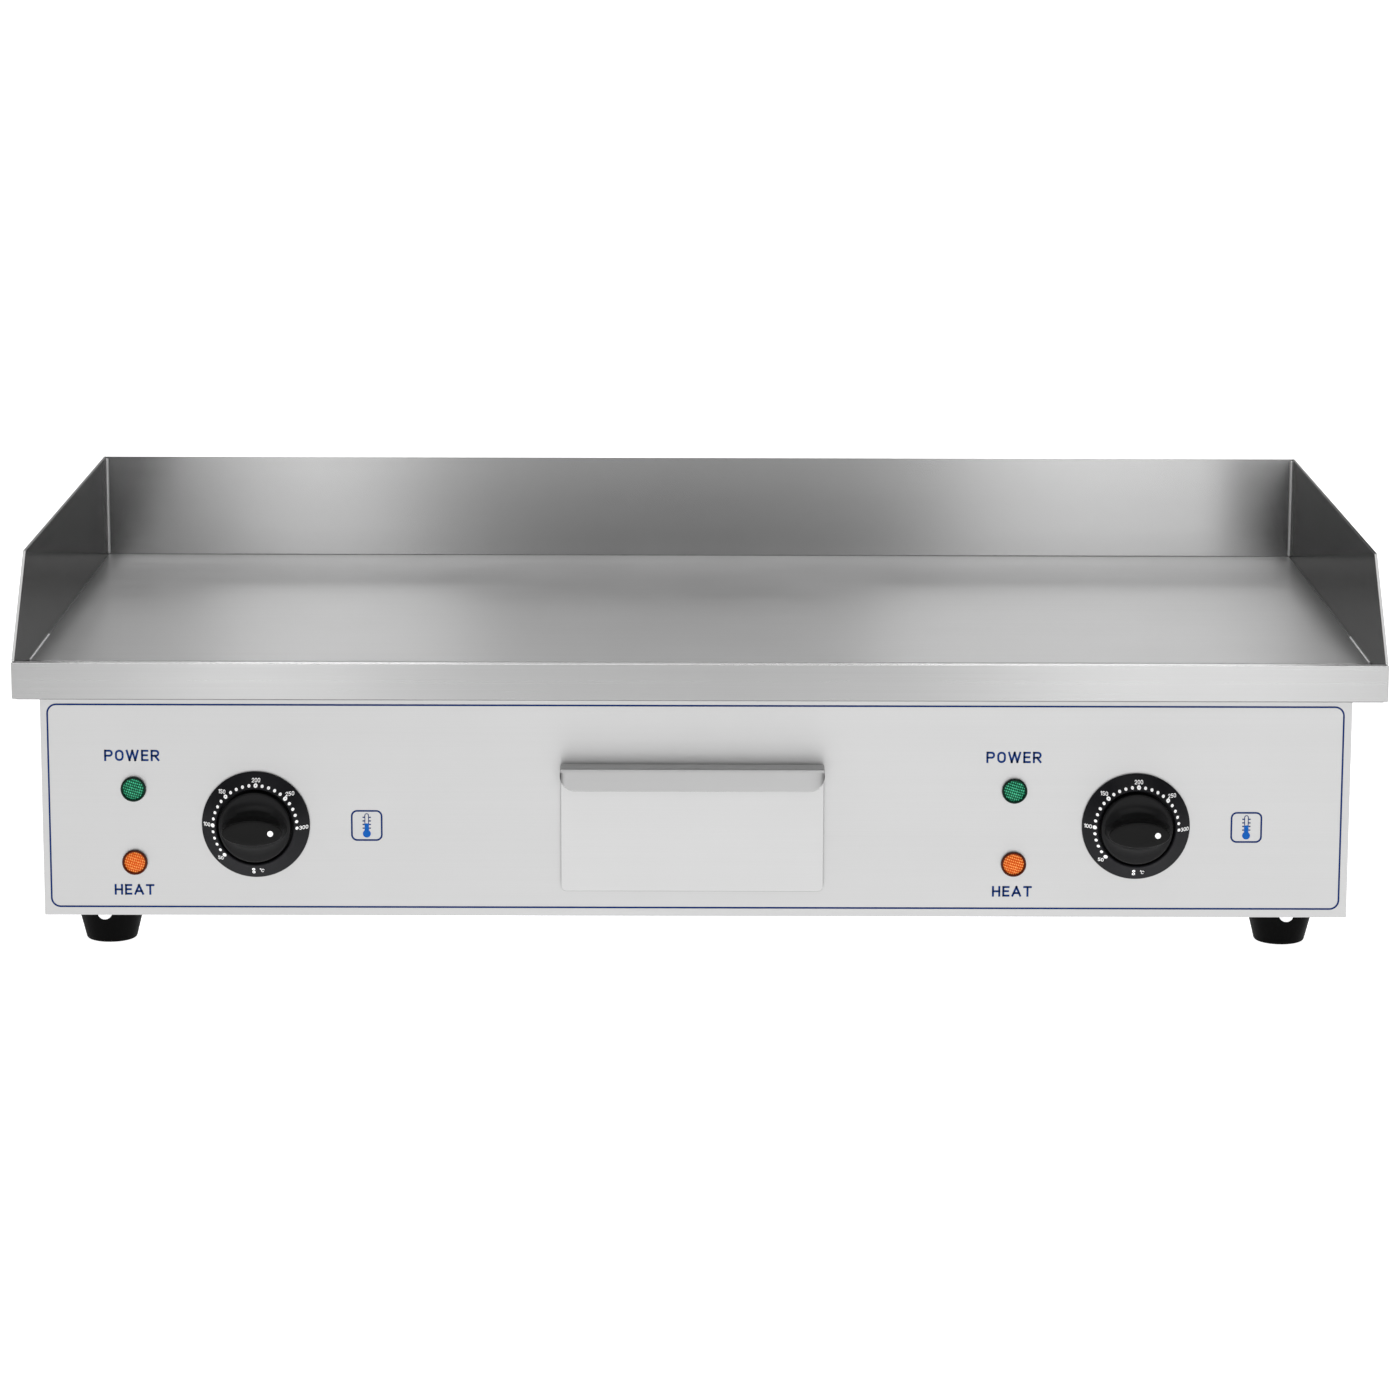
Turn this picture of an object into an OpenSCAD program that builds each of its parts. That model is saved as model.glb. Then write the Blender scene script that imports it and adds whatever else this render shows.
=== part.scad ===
// Counter-top electric griddle with two heating zones, splash guards and a grease drawer.
// Frame: +X to the right of the person cooking, -Y towards them, +Z up, millimetres.
// Origin: centre of the bounding box in X and Y, on the surface that the feet stand on.

/* [Tray] */
// Width over the two side guards
tray_w = 730; // [716:2:750]
// Depth from the face of the front lip to the back of the tray
tray_d = 408; // [400:2:430]
// Height of the top of the splash guards above the counter
guard_top_z = 213; // [206:1:230]
// Thickness of the guard and lip sheet
sheet_t = 1.5; // [1:0.1:1.8]
// Height of the top of the front lip above the counter
lip_top_z = 162; // [161:0.5:164]
// Height of the lip's front face
lip_h = 19.5; // [17:0.5:20]
// Depth of the lip's flat top
lip_d = 5; // [4:0.5:7]
// Drop from the top of the lip to the cooking surface
plate_drop = 9.5; // [8:0.5:10]
// Thickness of the steel cooking plate
plate_t = 8; // [7:0.5:8]
// Depth from the lip's face to the plate's front edge
trough_d = 58; // [47:1:62]
// How far back the raked front edge of each side guard runs
guard_rake = 56; // [50:1:80]
// Inner radius of the drain spout
drain_r = 9.5; // [7:0.5:9.5]

/* [Body] */
// Distance of the body's side behind the edge of the tray
body_inset = 14; // [12:1:16]
// Sideways offset of the body under the tray
body_shift = -2; // [-3:0.5:3]
// Distance of the front panel behind the lip's face
panel_setback = 20; // [18:0.5:22]
// Distance of the rear panel ahead of the back of the tray
rear_setback = 12; // [8:1:14]
// Height of the bottom edge of the body above the counter
body_z = 20; // [18:0.5:24]
// Thickness of the body's sheet
body_t = 1.2; // [1:0.1:1.2]
// Width of the folded flanges
flange_d = 12; // [10:0.5:13]

/* [Controls] */
// Distance of each dial from the centre of the body
dial_x = 236.4; // [225:0.2:245]
// Height of the dials above the counter
dial_z = 70.4; // [66:0.2:74]
// Outer radius of the dial bezel
bezel_r = 29; // [27:0.5:32]
// Height of the bezel's inner edge above the panel
bezel_h = 8; // [6:0.5:9]
// Radius of the knob's skirt
knob_r = 19.2; // [18:0.1:19.4]
// Height of the knob's grip above the panel
knob_h = 24; // [22:0.5:28]
// Height of the knob's skirt above the panel
skirt_h = 9.6; // [8:0.2:11]
// Length of the knob's grip
grip_l = 33.5; // [30:0.5:34]
// Width of the knob's grip
grip_w = 14; // [12:0.5:15]
// Distance from a dial to its pilot lamps
lamp_gap = 65.4; // [58:0.2:72]
// Height of the power lamps
power_z = 89.6; // [86:0.2:94]
// Height of the heating lamps
heat_z = 49.3; // [45:0.1:54]
// Outer radius of a pilot lamp's rim
lamp_r = 6.8; // [6.5:0.1:8]

/* [Drawer] */
// Width of the drawer's front
drawer_w = 141; // [136:1:150]
// Height of the drawer's front
drawer_h = 70; // [68:1:74]
// Height of the drawer front's bottom edge above the counter
drawer_z = 34.4; // [32:0.2:35]
// Offset of the drawer from the centre of the body
drawer_shift = -2; // [-4:0.5:4]
// Length of the drawer's tray
tray_l = 230; // [180:5:260]
// How far the pull stands out from the drawer's front
pull_d = 16; // [12:0.5:16]
// Height of the pull's turned-down flange
pull_h = 11.6; // [9:0.2:14]

/* [Feet] */
// Distance of each foot from the centre of the body
foot_x = 319; // [310:1:319]
// Distance of each foot's centre from the front or rear panel
foot_inset = 32; // [32:1:50]
// Radius of a foot at its top
foot_top_r = 18.6; // [15:0.2:18.6]
// Radius of a foot where it stands
foot_low_r = 13.8; // [11:0.2:14]

/* [Heating] */
// Radius of the tubular heating elements
tube_r = 4; // [3.5:0.1:4]
// Spacing of the straight runs of an element
run_gap = 88; // [80:2:90]
// Distance of an element's innermost run from the centre of the plate
first_run = 46; // [40:1:48]

/* [Hidden] */
$fn = 64;
LEFT = -1;
RIGHT = 1;
// Hairline that keeps neighbouring pieces of one body apart
hair = 0.05;
// Overshoot of a cutting tool past the face that it cuts
over = 1;

// Depth: the knobs reach furthest forward and the cable glands furthest back
gland_out = 20;
knob_ahead = knob_h - panel_setback;
overall_d = knob_ahead + tray_d + gland_out - rear_setback;
lip_y = knob_ahead - overall_d / 2;
tray_back = lip_y + tray_d;
panel_y = lip_y + panel_setback;
panel_in = panel_y + body_t;
rear_y = tray_back - rear_setback;
rear_in = rear_y - body_t;
plate_front = lip_y + trough_d;
guard_in = tray_back - sheet_t;

// Width
tray_x = tray_w / 2;
wall_x = tray_x - sheet_t;
cx = body_shift;
body_x = tray_x - body_inset;
side_in = body_x - body_t;

// Height
plate_top = lip_top_z - plate_drop;
plate_low = plate_top - plate_t;
lip_low = lip_top_z - lip_h;
trough_z = plate_low - 3;
floor_t = sheet_t;
base_top = body_z + 2 * body_t;
foot_h = body_z + body_t;

// Drain and drawer
drain_x = cx + drawer_shift;
spout_r = drain_r + sheet_t;
drain_y = panel_in + spout_r + 1.8;
spout_low = 100;
drawer_t = 1.2;
drawer_face = panel_y - 3;
box_w = drawer_w - 11;
box_z = drawer_z + 5.6;
box_h = 52;
box_t = 1;
opening_gap = 2;
pull_corner = 8;
drawer_corner = 3;

// Heating
run_z = plate_low - tube_r - 0.1;
run_front = lip_y + 110;
run_rear = rear_y - 64;
bend_r = run_gap / 2;
lead_front = run_front - 24;
lead_r = 14;
lead_low = 110;
pin_l = 8;
bar_t = 3;
bar_w = 20;
bar_top = run_z - tube_r - 0.2;
bar_rows = [run_front + 36, run_front + 114, run_front + 192];
stud_cols = [first_run + run_gap / 2, first_run + 2.5 * run_gap];
stud_r = 3;
stud_low = 104;
nut_h = 5;
nut_flats = 10;
shield_z = 112;
shield_t = 1;
blanket_h = 18;
shield_front = lip_y + 56;
shield_rear = rear_in - 5;
shield_x = side_in - 5;
corner_stud_y = [plate_front + 40, guard_in - 60];
corner_stud_l = 12;
bulb_x = first_run + 1.5 * run_gap;
bulb_r = 3;
bulb_z = plate_low - bulb_r - 0.4;
bulb_front = run_front + 56;
bulb_l = 100;

// Controls
shaft_r = 3;
shaft_play = 0.05;
panel_hole_r = 6;
lamp_barrel_r = 5.2;
lens_r = lamp_r - 0.75;
lamp_hole_r = lamp_barrel_r + 0.2;
screw_gap = 14;
thermo_w = 44;
thermo_h = 36;
thermo_d = 30;

// Rear
gland_x = 200;
gland_z = 62;
gland_r = 9.8;
gland_bore_r = 5.5;
block_y = rear_in - 52;
vent_w = 4;
vent_h = 34;
vent_z = 84;
vent_pitch = 12;
vents_per_group = 9;
vent_x = 90;

// Base, feet and fasteners
base_slot_l = 70;
base_slot_w = 4;
base_slot_pitch = 14;
base_slots = 8;
base_slot_x = 190;
recess_r = 6;
recess_h = 11;
flange_screw_x = 319.5;
flange_screw_y = panel_y + 7;
screw_r = 2;
screw_hole_r = 2.2;
panel_screw_z = [42, 122];
side_screw_y = panel_in + 6;
rear_screw_x = side_in - 5;

function dial_at(side) = cx + side * dial_x;
function lamp_at(side) = dial_at(side) - lamp_gap;

module slab(lo, hi) {
    translate(lo) cube(hi - lo);
}

// Cylinder along +Y from y0 to y1
module rod_y(x, z, r, y0, y1) {
    translate([x, y0, z]) rotate([-90, 0, 0]) cylinder(r = r, h = y1 - y0);
}

module rod_z(x, y, r, z0, z1) {
    translate([x, y, z0]) cylinder(r = r, h = z1 - z0);
}

// Cylinder along +X from x0 to x1
module rod_x(y, z, r, x0, x1) {
    translate([x0, y, z]) rotate([0, 90, 0]) cylinder(r = r, h = x1 - x0);
}

// Stands a drawing in X and Z upright and gives it thickness t, from y back to y + t
module upright(y, t) {
    translate([0, y + t, 0]) rotate([90, 0, 0]) linear_extrude(t) children();
}

// Rectangle from [x0, z0] to [x1, z1] with rounded lower corners
module low_rounded(x0, x1, z0, z1, r) {
    translate([x0, z0 + r]) square([x1 - x0, z1 - z0 - r]);
    translate([x0 + r, z0]) square([x1 - x0 - 2 * r, r + 0.01]);
    for (x = [x0 + r, x1 - r]) {
        intersection() {
            translate([x, z0 + r]) circle(r);
            translate([x0, z0]) square([x1 - x0, r + 0.01]);
        }
    }
}

// Round wire or tube through a list of points, with a bead at each bend that covers the joint
module wire(points, r) {
    bead = 1.45 * r;
    for (i = [0 : len(points) - 2]) {
        a = points[i];
        b = points[i + 1];
        d = b - a;
        reach = norm(d);
        translate(a)
            rotate([0, acos(d[2] / reach), atan2(d[1], d[0])])
                cylinder(r = r, h = reach, $fn = 24);
    }
    for (i = [1 : len(points) - 2]) translate(points[i]) sphere(r = bead, $fn = 24);
}

// Unit vector from a to b
function way(a, b) = (b - a) / norm(b - a);

// The rings of a swept tube from point i on: a ring moves along each stretch to the mitre of its bend
function sweep_rings(points, ring, i = 0) =
    i == len(points) - 1 ? [ring] :
    let (
        to = points[i + 1],
        along = way(points[i], to),
        onward = i + 2 < len(points) ? way(to, points[i + 2]) : along,
        mitre = along + onward,
        next = [for (q = ring) q + along * (((to - q) * mitre) / (along * mitre))]
    )
    concat([ring], sweep_rings(points, next, i + 1));

// Thin insulated lead through a list of points, one closed tube with mitred bends
module lead(points, r) {
    sides = 10;
    along = way(points[0], points[1]);
    u = way([0, 0, 0], cross(along, [1, 0, 0]));
    v = cross(along, u);
    first = [for (k = [0 : sides - 1]) points[0] + r * (cos(360 * k / sides) * u + sin(360 * k / sides) * v)];
    rings = sweep_rings(points, first);
    last = (len(points) - 1) * sides;
    polyhedron(
        points = [for (ring = rings) each ring],
        faces = concat(
            [[for (k = [0 : sides - 1]) k]],
            [[for (k = [sides - 1 : -1 : 0]) last + k]],
            [for (i = [0 : len(points) - 2], k = [0 : sides - 1])
                let (a = i * sides, next = (k + 1) % sides)
                [a + k, a + sides + k, a + sides + next, a + next]]
        )
    );
}

// Pan-head screw whose head sits on z = 0 and whose shank runs up
module pan_screw(head_r, head_h, shank_r, shank_l) {
    dome_r = (head_r * head_r + head_h * head_h) / (2 * head_h);
    difference() {
        intersection() {
            translate([0, 0, dome_r - head_h]) sphere(r = dome_r);
            translate([0, 0, -head_h]) cylinder(r = head_r, h = head_h);
        }
        for (turn = [0, 90]) {
            rotate(turn) translate([-head_r * 0.55, -0.4, -head_h - 0.1])
                cube([head_r * 1.1, 0.8, head_h * 0.55 + 0.1]);
        }
    }
    cylinder(r = shank_r, h = shank_l);
}

module hex_nut(x, y, z, flats, h, bore_r) {
    translate([x, y, z]) difference() {
        cylinder(r = flats / sqrt(3), h = h, $fn = 6);
        translate([0, 0, -over]) cylinder(r = bore_r, h = h + 2 * over);
    }
}

// Every place where a stud clamps a heating element
module at_clamp_studs(sides) {
    for (side = sides, x = stud_cols, y = bar_rows) translate([side * x, y, 0]) children();
}

// Every place where a stud holds the plate down on the side panels
module at_corner_studs() {
    for (side = [LEFT, RIGHT], y = corner_stud_y) {
        translate([cx + side * (side_in - flange_d / 2), y, 0]) children();
    }
}

// ---- Tray ----

module griddle_plate() {
    color("#a9a9a7")
        slab([-wall_x, plate_front, plate_low], [wall_x, guard_in, plate_top]);
}

// Side guard: skirt below, raked front edge and a small relief where it meets the lip
module side_guard(side) {
    front = lip_y + sheet_t;
    relief = 1.8;
    outline = [
        [front, lip_low], [tray_back, lip_low], [tray_back, guard_top_z],
        [lip_y + guard_rake, guard_top_z], [front + relief, lip_top_z + 1],
        [front + relief, lip_top_z - relief], [front, lip_top_z - relief]
    ];
    color("#7b7b79")
        translate([side > 0 ? wall_x : -tray_x, 0, 0])
            rotate([90, 0, 90]) linear_extrude(sheet_t) polygon(outline);
}

module back_splash_guard() {
    color("#8b8b89")
        slab([-wall_x, guard_in, lip_low], [wall_x, tray_back, guard_top_z]);
}

// Folded sheet: lip face, lip top, trough wall, trough floor and rear wall, with closed ends
module front_trough() {
    inner = lip_y + lip_d;
    t = sheet_t;
    section = [
        [lip_y, lip_low], [lip_y, lip_top_z], [inner, lip_top_z], [inner, trough_z + t],
        [plate_front - t, trough_z + t], [plate_front - t, plate_top],
        [plate_front, plate_top], [plate_front, trough_z], [inner - t, trough_z],
        [inner - t, lip_top_z - t], [lip_y + t, lip_top_z - t], [lip_y + t, lip_low]
    ];
    color("#c4c4c2") difference() {
        union() {
            translate([-wall_x, 0, 0])
                rotate([90, 0, 90]) linear_extrude(2 * wall_x) polygon(section);
            slab([-tray_x, lip_y, lip_low], [tray_x, lip_y + t, lip_top_z]);
            for (x = [-wall_x, wall_x - t]) {
                slab([x, inner - t, trough_z], [x + t, plate_front, plate_top]);
            }
        }
        rod_z(drain_x, drain_y, drain_r, trough_z - over, trough_z + t + over);
    }
}

module drain_spout() {
    color("#9c9c9a") difference() {
        rod_z(drain_x, drain_y, spout_r, spout_low, trough_z);
        rod_z(drain_x, drain_y, drain_r, spout_low - over, trough_z + over);
    }
}

// ---- Body ----

module front_panel() {
    spout_room = spout_r + 3;
    hole_x0 = drain_x - box_w / 2 - opening_gap;
    hole_x1 = drain_x + box_w / 2 + opening_gap;
    reach = side_in - 0.2;
    color("#d6d6d4") difference() {
        union() {
            slab([cx - body_x, panel_y, body_z], [cx + body_x, panel_in, trough_z]);
            slab([cx - reach, panel_y, body_z], [cx + reach, panel_in + flange_d, foot_h]);
            slab([cx - reach, panel_y, trough_z - body_t],
                 [cx + reach, panel_in + flange_d, trough_z]);
            for (x = [cx - reach, cx + reach - body_t]) {
                slab([x, panel_y, body_z], [x + body_t, panel_in + flange_d, trough_z]);
            }
        }
        slab([hole_x0, panel_y - over, box_z - opening_gap],
             [hole_x1, panel_in + over, box_z + box_h + opening_gap]);
        rod_z(drain_x, drain_y, spout_room, trough_z - body_t - over, trough_z + over);
        for (side = [LEFT, RIGHT]) {
            rod_y(dial_at(side), dial_z, panel_hole_r, panel_y - over, panel_in + over);
            for (z = [power_z, heat_z]) {
                rod_y(lamp_at(side), z, lamp_hole_r, panel_y - over, panel_in + over);
            }
            for (dx = [-screw_gap, screw_gap]) {
                rod_y(dial_at(side) + dx, dial_z, screw_hole_r, panel_y - over, panel_in + over);
            }
        }
        at_flange_screws();
        at_side_screws();
    }
}

// Clearance holes for the two screws that join the front panel's flange to the base
module at_flange_screws() {
    for (side = [LEFT, RIGHT]) {
        rod_z(cx + side * flange_screw_x, flange_screw_y, screw_hole_r,
              body_z - over, base_top + over);
    }
}

// Clearance holes for the screws that join the side panels to the front panel's flanges
module at_side_screws() {
    for (side = [LEFT, RIGHT], z = panel_screw_z) {
        x = cx + side * (side_in - 3);
        rod_x(side_screw_y, z, screw_hole_r, min(x, x + side * 6), max(x, x + side * 6));
    }
}

// Clearance holes for the screws that join the rear panel to the side panels' flanges
module at_rear_screws() {
    for (side = [LEFT, RIGHT], z = panel_screw_z) {
        rod_y(cx + side * rear_screw_x, z, screw_hole_r, rear_in - 3, rear_y + over);
    }
}

// Side panel with a bottom, a top and a rear flange, stepped down at the front to clear the trough
module side_panel(side) {
    front = panel_in;
    low_front = panel_in + flange_d + 0.3;
    color("#c9c9c7") difference() {
        translate([cx, 0, 0]) mirror([side > 0 ? 0 : 1, 0, 0]) {
            slab([side_in, front, body_z], [body_x, rear_in, trough_z]);
            slab([side_in, plate_front + hair, body_z], [body_x, rear_in, plate_low]);
            slab([side_in - flange_d, low_front, body_z], [body_x, rear_in, foot_h]);
            slab([side_in - flange_d, plate_front + 2, plate_low - body_t],
                 [body_x, rear_in, plate_low]);
            slab([side_in - flange_d, rear_in - body_t, body_z], [body_x, rear_in, plate_low]);
        }
        at_corner_studs()
            translate([0, 0, plate_low - 3]) cylinder(r = stud_r + 0.3, h = 3 + over);
        at_side_screws();
        at_rear_screws();
    }
}

// Rear panel with two groups of vent slots and the two cable entries
module rear_panel() {
    inner = side_in - flange_d - 0.3;
    color("#c4c4c2") difference() {
        union() {
            slab([cx - body_x, rear_in, body_z], [cx + body_x, rear_y, plate_low]);
            slab([cx - inner, rear_in - flange_d, body_z], [cx + inner, rear_y, foot_h]);
            slab([cx - inner, rear_in - flange_d, plate_low - body_t],
                 [cx + inner, rear_y, plate_low]);
        }
        for (side = [LEFT, RIGHT]) {
            rod_y(cx + side * gland_x, gland_z, gland_r + 0.2, rear_in - over, rear_y + over);
            for (i = [0 : vents_per_group - 1]) {
                x = cx + side * vent_x + (i - (vents_per_group - 1) / 2) * vent_pitch;
                slab([x - vent_w / 2, rear_in - over, vent_z],
                     [x + vent_w / 2, rear_y + over, vent_z + vent_h]);
            }
        }
        at_rear_screws();
    }
}

// Bottom cover that rests on the flanges, with cooling slots
module base_plate() {
    reach = side_in - 1.8;
    color("#b5b5b3") difference() {
        slab([cx - reach, panel_in + 0.2, foot_h], [cx + reach, rear_in - 1.6, base_top]);
        for (side = [LEFT, RIGHT], i = [0 : base_slots - 1]) {
            x = cx + side * base_slot_x + (i - (base_slots - 1) / 2) * base_slot_pitch;
            slab([x - base_slot_w / 2, -base_slot_l / 2, foot_h - over],
                 [x + base_slot_w / 2, base_slot_l / 2, base_top + over]);
        }
        at_feet() translate([0, 0, foot_h - over]) cylinder(r = 2.7, h = body_t + 2 * over);
        at_flange_screws();
    }
}

// ---- Heating ----

module heat_shield() {
    color("#bdbdbb") difference() {
        slab([cx - shield_x, shield_front, shield_z],
             [cx + shield_x, shield_rear, shield_z + shield_t]);
        at_clamp_studs([LEFT, RIGHT])
            translate([0, 0, shield_z - over]) cylinder(r = stud_r + 0.3, h = 4);
        at_leads() translate([0, 0, shield_z - over]) cylinder(r = 7, h = 4);
        at_capillaries() translate([0, 0, shield_z - over]) cylinder(r = 4, h = 4);
    }
}

module insulation_blanket() {
    z0 = shield_z + shield_t;
    color("#e8e2d2") difference() {
        slab([cx - shield_x + 4, shield_front + 2, z0],
             [cx + shield_x - 4, shield_rear - 4, z0 + blanket_h]);
        at_clamp_studs([LEFT, RIGHT])
            translate([0, 0, z0 - over]) cylinder(r = 7, h = blanket_h + 2 * over);
        at_leads() translate([0, 0, z0 - over]) cylinder(r = 6, h = blanket_h + 2 * over);
        at_capillaries() translate([0, 0, z0 - over]) cylinder(r = 3, h = blanket_h + 2 * over);
    }
}

// The cold ends of the elements, where they turn down to the wiring space
module at_leads() {
    for (side = [LEFT, RIGHT], run = [0, 3]) {
        translate([side * (first_run + run * run_gap), lead_front - lead_r, 0]) children();
    }
}

module at_capillaries() {
    for (side = [LEFT, RIGHT]) translate([side * bulb_x, bulb_front - 40, 0]) children();
}

// Tubular element: four straight runs, three return bends and two turned-down cold ends
module heating_element(side) {
    color("#5b5550") translate([0, 0, run_z]) mirror([side > 0 ? 0 : 1, 0, 0]) {
        for (run = [0 : 3]) {
            x = first_run + run * run_gap;
            outer = run == 0 || run == 3;
            rod_y(x, 0, tube_r, outer ? lead_front : run_front, run_rear);
        }
        for (run = [0, 2]) {
            translate([first_run + (run + 0.5) * run_gap, run_rear, 0])
                rotate_extrude(angle = 180) translate([bend_r, 0]) circle(tube_r);
        }
        translate([first_run + 1.5 * run_gap, run_front, 0])
            rotate([0, 0, 180]) rotate_extrude(angle = 180) translate([bend_r, 0]) circle(tube_r);
        for (run = [0, 3]) {
            x = first_run + run * run_gap;
            translate([x, lead_front, -lead_r]) rotate([90, 0, -90])
                rotate_extrude(angle = 90) translate([lead_r, 0]) circle(tube_r);
            rod_z(x, lead_front - lead_r, tube_r, lead_low - run_z, -lead_r);
            rod_z(x, lead_front - lead_r, 2, lead_low - run_z - pin_l, lead_low - run_z);
        }
    }
}

// Flat bars that press an element against the underside of the plate
module element_clamps(side) {
    x0 = first_run - 14;
    x1 = first_run + 3 * run_gap + 14;
    color("#8d8d8b") difference() {
        for (y = bar_rows) {
            slab([side > 0 ? x0 : -x1, y - bar_w / 2, bar_top - bar_t],
                 [side > 0 ? x1 : -x0, y + bar_w / 2, bar_top]);
        }
        at_clamp_studs([side])
            translate([0, 0, bar_top - bar_t - over]) cylinder(r = stud_r + 0.2, h = bar_t + 2 * over);
    }
}

module plate_studs() {
    color("#9a9a98") {
        at_clamp_studs([LEFT, RIGHT])
            translate([0, 0, stud_low]) cylinder(r = stud_r, h = plate_low - stud_low);
        at_corner_studs()
            translate([0, 0, plate_low - corner_stud_l]) cylinder(r = stud_r, h = corner_stud_l);
    }
}

module clamp_nuts() {
    color("#b8b8b6") {
        at_clamp_studs([LEFT, RIGHT])
            hex_nut(0, 0, bar_top - bar_t - nut_h, nut_flats, nut_h, stud_r + hair);
        at_corner_studs()
            hex_nut(0, 0, plate_low - body_t - nut_h, nut_flats, nut_h, stud_r + hair);
    }
}

module shield_nuts() {
    color("#b8b8b6") at_clamp_studs([LEFT, RIGHT])
        hex_nut(0, 0, shield_z - nut_h, nut_flats, nut_h, stud_r + hair);
}

// ---- Thermostats ----

// Capillary thermostat: fixing plate, switch block with a blind shaft bearing, terminals
module thermostat(side) {
    x = dial_at(side);
    back = panel_in + thermo_d;
    color("#cfc8b8") difference() {
        union() {
            slab([x - 20, panel_in, dial_z - 9], [x + 20, panel_in + 1.5, dial_z + 9]);
            slab([x - thermo_w / 2, panel_in + 1.5, dial_z - thermo_h / 2],
                 [x + thermo_w / 2, back, dial_z + thermo_h / 2]);
            for (dx = [-12, 0, 12]) {
                slab([x + dx - 3, back - 0.01, dial_z - 10], [x + dx + 3, back + 9, dial_z - 9.2]);
            }
        }
        rod_y(x, dial_z, shaft_r + shaft_play, panel_in - over, panel_in + 16);
        for (dx = [-screw_gap, screw_gap]) {
            rod_y(x + dx, dial_z, screw_r + hair, panel_in - over, panel_in + 8);
        }
    }
}

// Shaft with a flat where the knob pushes on
module thermostat_shaft(side) {
    x = dial_at(side);
    tip = panel_y - 16;
    color("#c2c2c0") difference() {
        rod_y(x, dial_z, shaft_r, tip, panel_in + 15.5);
        slab([x - shaft_r, tip - over, dial_z + 1.6], [x + shaft_r, panel_y - 4, dial_z + 4]);
    }
}

// Sensing bulb under the plate and the capillary tube down to its thermostat
module sensor_bulb(side) {
    x = side * bulb_x;
    entry = [dial_at(side) - 8, panel_in + thermo_d, dial_z + 8];
    drop_y = bulb_front - 40;
    color("#b97a4a") {
        rod_y(x, bulb_z, bulb_r, bulb_front, bulb_front + bulb_l);
        wire([
            [x, bulb_front + 0.5, bulb_z],
            [x, drop_y, bulb_z],
            [x, drop_y, 98],
            [(x + entry[0]) / 2, (drop_y + entry[1]) / 2, 92],
            entry
        ], 0.9);
    }
}

module thermostat_screws() {
    color("#d0d0ce") for (side = [LEFT, RIGHT], dx = [-screw_gap, screw_gap]) {
        translate([dial_at(side) + dx, panel_y - 1.5, dial_z])
            rotate([-90, 0, 0]) pan_screw(3.4, 2, screw_r, 9);
    }
}

// ---- Dials ----

// Fixed bezel: a shallow cone around the well that the knob turns in
module dial_bezel(side) {
    well_r = knob_r + 1.3;
    floor_h = 1.5;
    section = [
        [panel_hole_r, 0], [bezel_r, 0], [bezel_r, 1.4], [bezel_r - 0.6, 2],
        [well_r + 0.8, bezel_h - 0.2], [well_r, bezel_h - 0.6], [well_r, floor_h],
        [panel_hole_r, floor_h]
    ];
    color("#1c1c1d") translate([dial_at(side), panel_y, dial_z]) rotate([90, 0, 0])
        difference() {
            rotate_extrude() polygon(section);
            for (dx = [-screw_gap, screw_gap]) {
                translate([dx, 0, -over]) cylinder(r = screw_hole_r, h = 4);
            }
        }
}

// Turning knob: hollow skirt, lens-shaped grip bar and a blind bore with a flat for the shaft
module knob(side) {
    back_h = 2.2;
    arc_r = (pow(grip_l / 2 + 3, 2) + pow(grip_w / 2, 2)) / grip_w;
    hub_r = 9.4;
    hollow_r = knob_r - 1.4;
    hollow_h = 5.6;
    skirt = [
        [0, back_h], [hub_r, back_h], [hub_r, hollow_h], [hollow_r, hollow_h],
        [hollow_r, back_h], [knob_r, back_h], [knob_r, skirt_h - 1], [knob_r - 1, skirt_h],
        [0, skirt_h - 1]
    ];
    color("#151516") translate([dial_at(side), panel_y, dial_z]) rotate([90, 0, 0])
        difference() {
            union() {
                rotate_extrude() polygon(skirt);
                intersection() {
                    translate([0, 0, skirt_h - 2]) cylinder(r = grip_l / 2, h = knob_h - skirt_h + 2);
                    translate([0, arc_r - grip_w / 2, 0]) cylinder(r = arc_r, h = knob_h);
                    translate([0, grip_w / 2 - arc_r, 0]) cylinder(r = arc_r, h = knob_h);
                }
            }
            difference() {
                translate([0, 0, back_h - over]) cylinder(r = shaft_r + hair, h = 15.5);
                translate([-4, 1.6 + hair, 3.9]) cube([8, 4, 20]);
            }
        }
}

// ---- Pilot lamps ----

// Rim in front of the panel, barrel through it and two blade terminals
module lamp_body(x, z) {
    color("#2a2a2b") difference() {
        union() {
            rod_y(x, z, lamp_r, panel_y - 1.6, panel_y);
            rod_y(x, z, lamp_barrel_r, panel_y - 0.5, panel_in + 22);
            for (dx = [-2.6, 1.8]) {
                slab([x + dx, panel_in + 21.9, z - 2.4], [x + dx + 0.8, panel_in + 30, z + 2.4]);
            }
        }
        rod_y(x, z, lens_r + hair, panel_y - 1.6 - over, panel_y - 0.4);
    }
}

module lamp_lens(x, z, shade) {
    dome_r = 16;
    face = panel_y - 2.6;
    color(shade) intersection() {
        rod_y(x, z, lens_r, face, panel_y - 0.45);
        translate([x, face + dome_r, z]) rotate([90, 0, 0]) sphere(r = dome_r);
    }
}

module lamp_nuts() {
    color("#d8d8d6") for (side = [LEFT, RIGHT], z = [power_z, heat_z]) difference() {
        rod_y(lamp_at(side), z, 8, panel_in, panel_in + 3);
        rod_y(lamp_at(side), z, lamp_barrel_r + hair, panel_in - over, panel_in + 3 + over);
    }
}

// ---- Grease drawer ----

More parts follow.
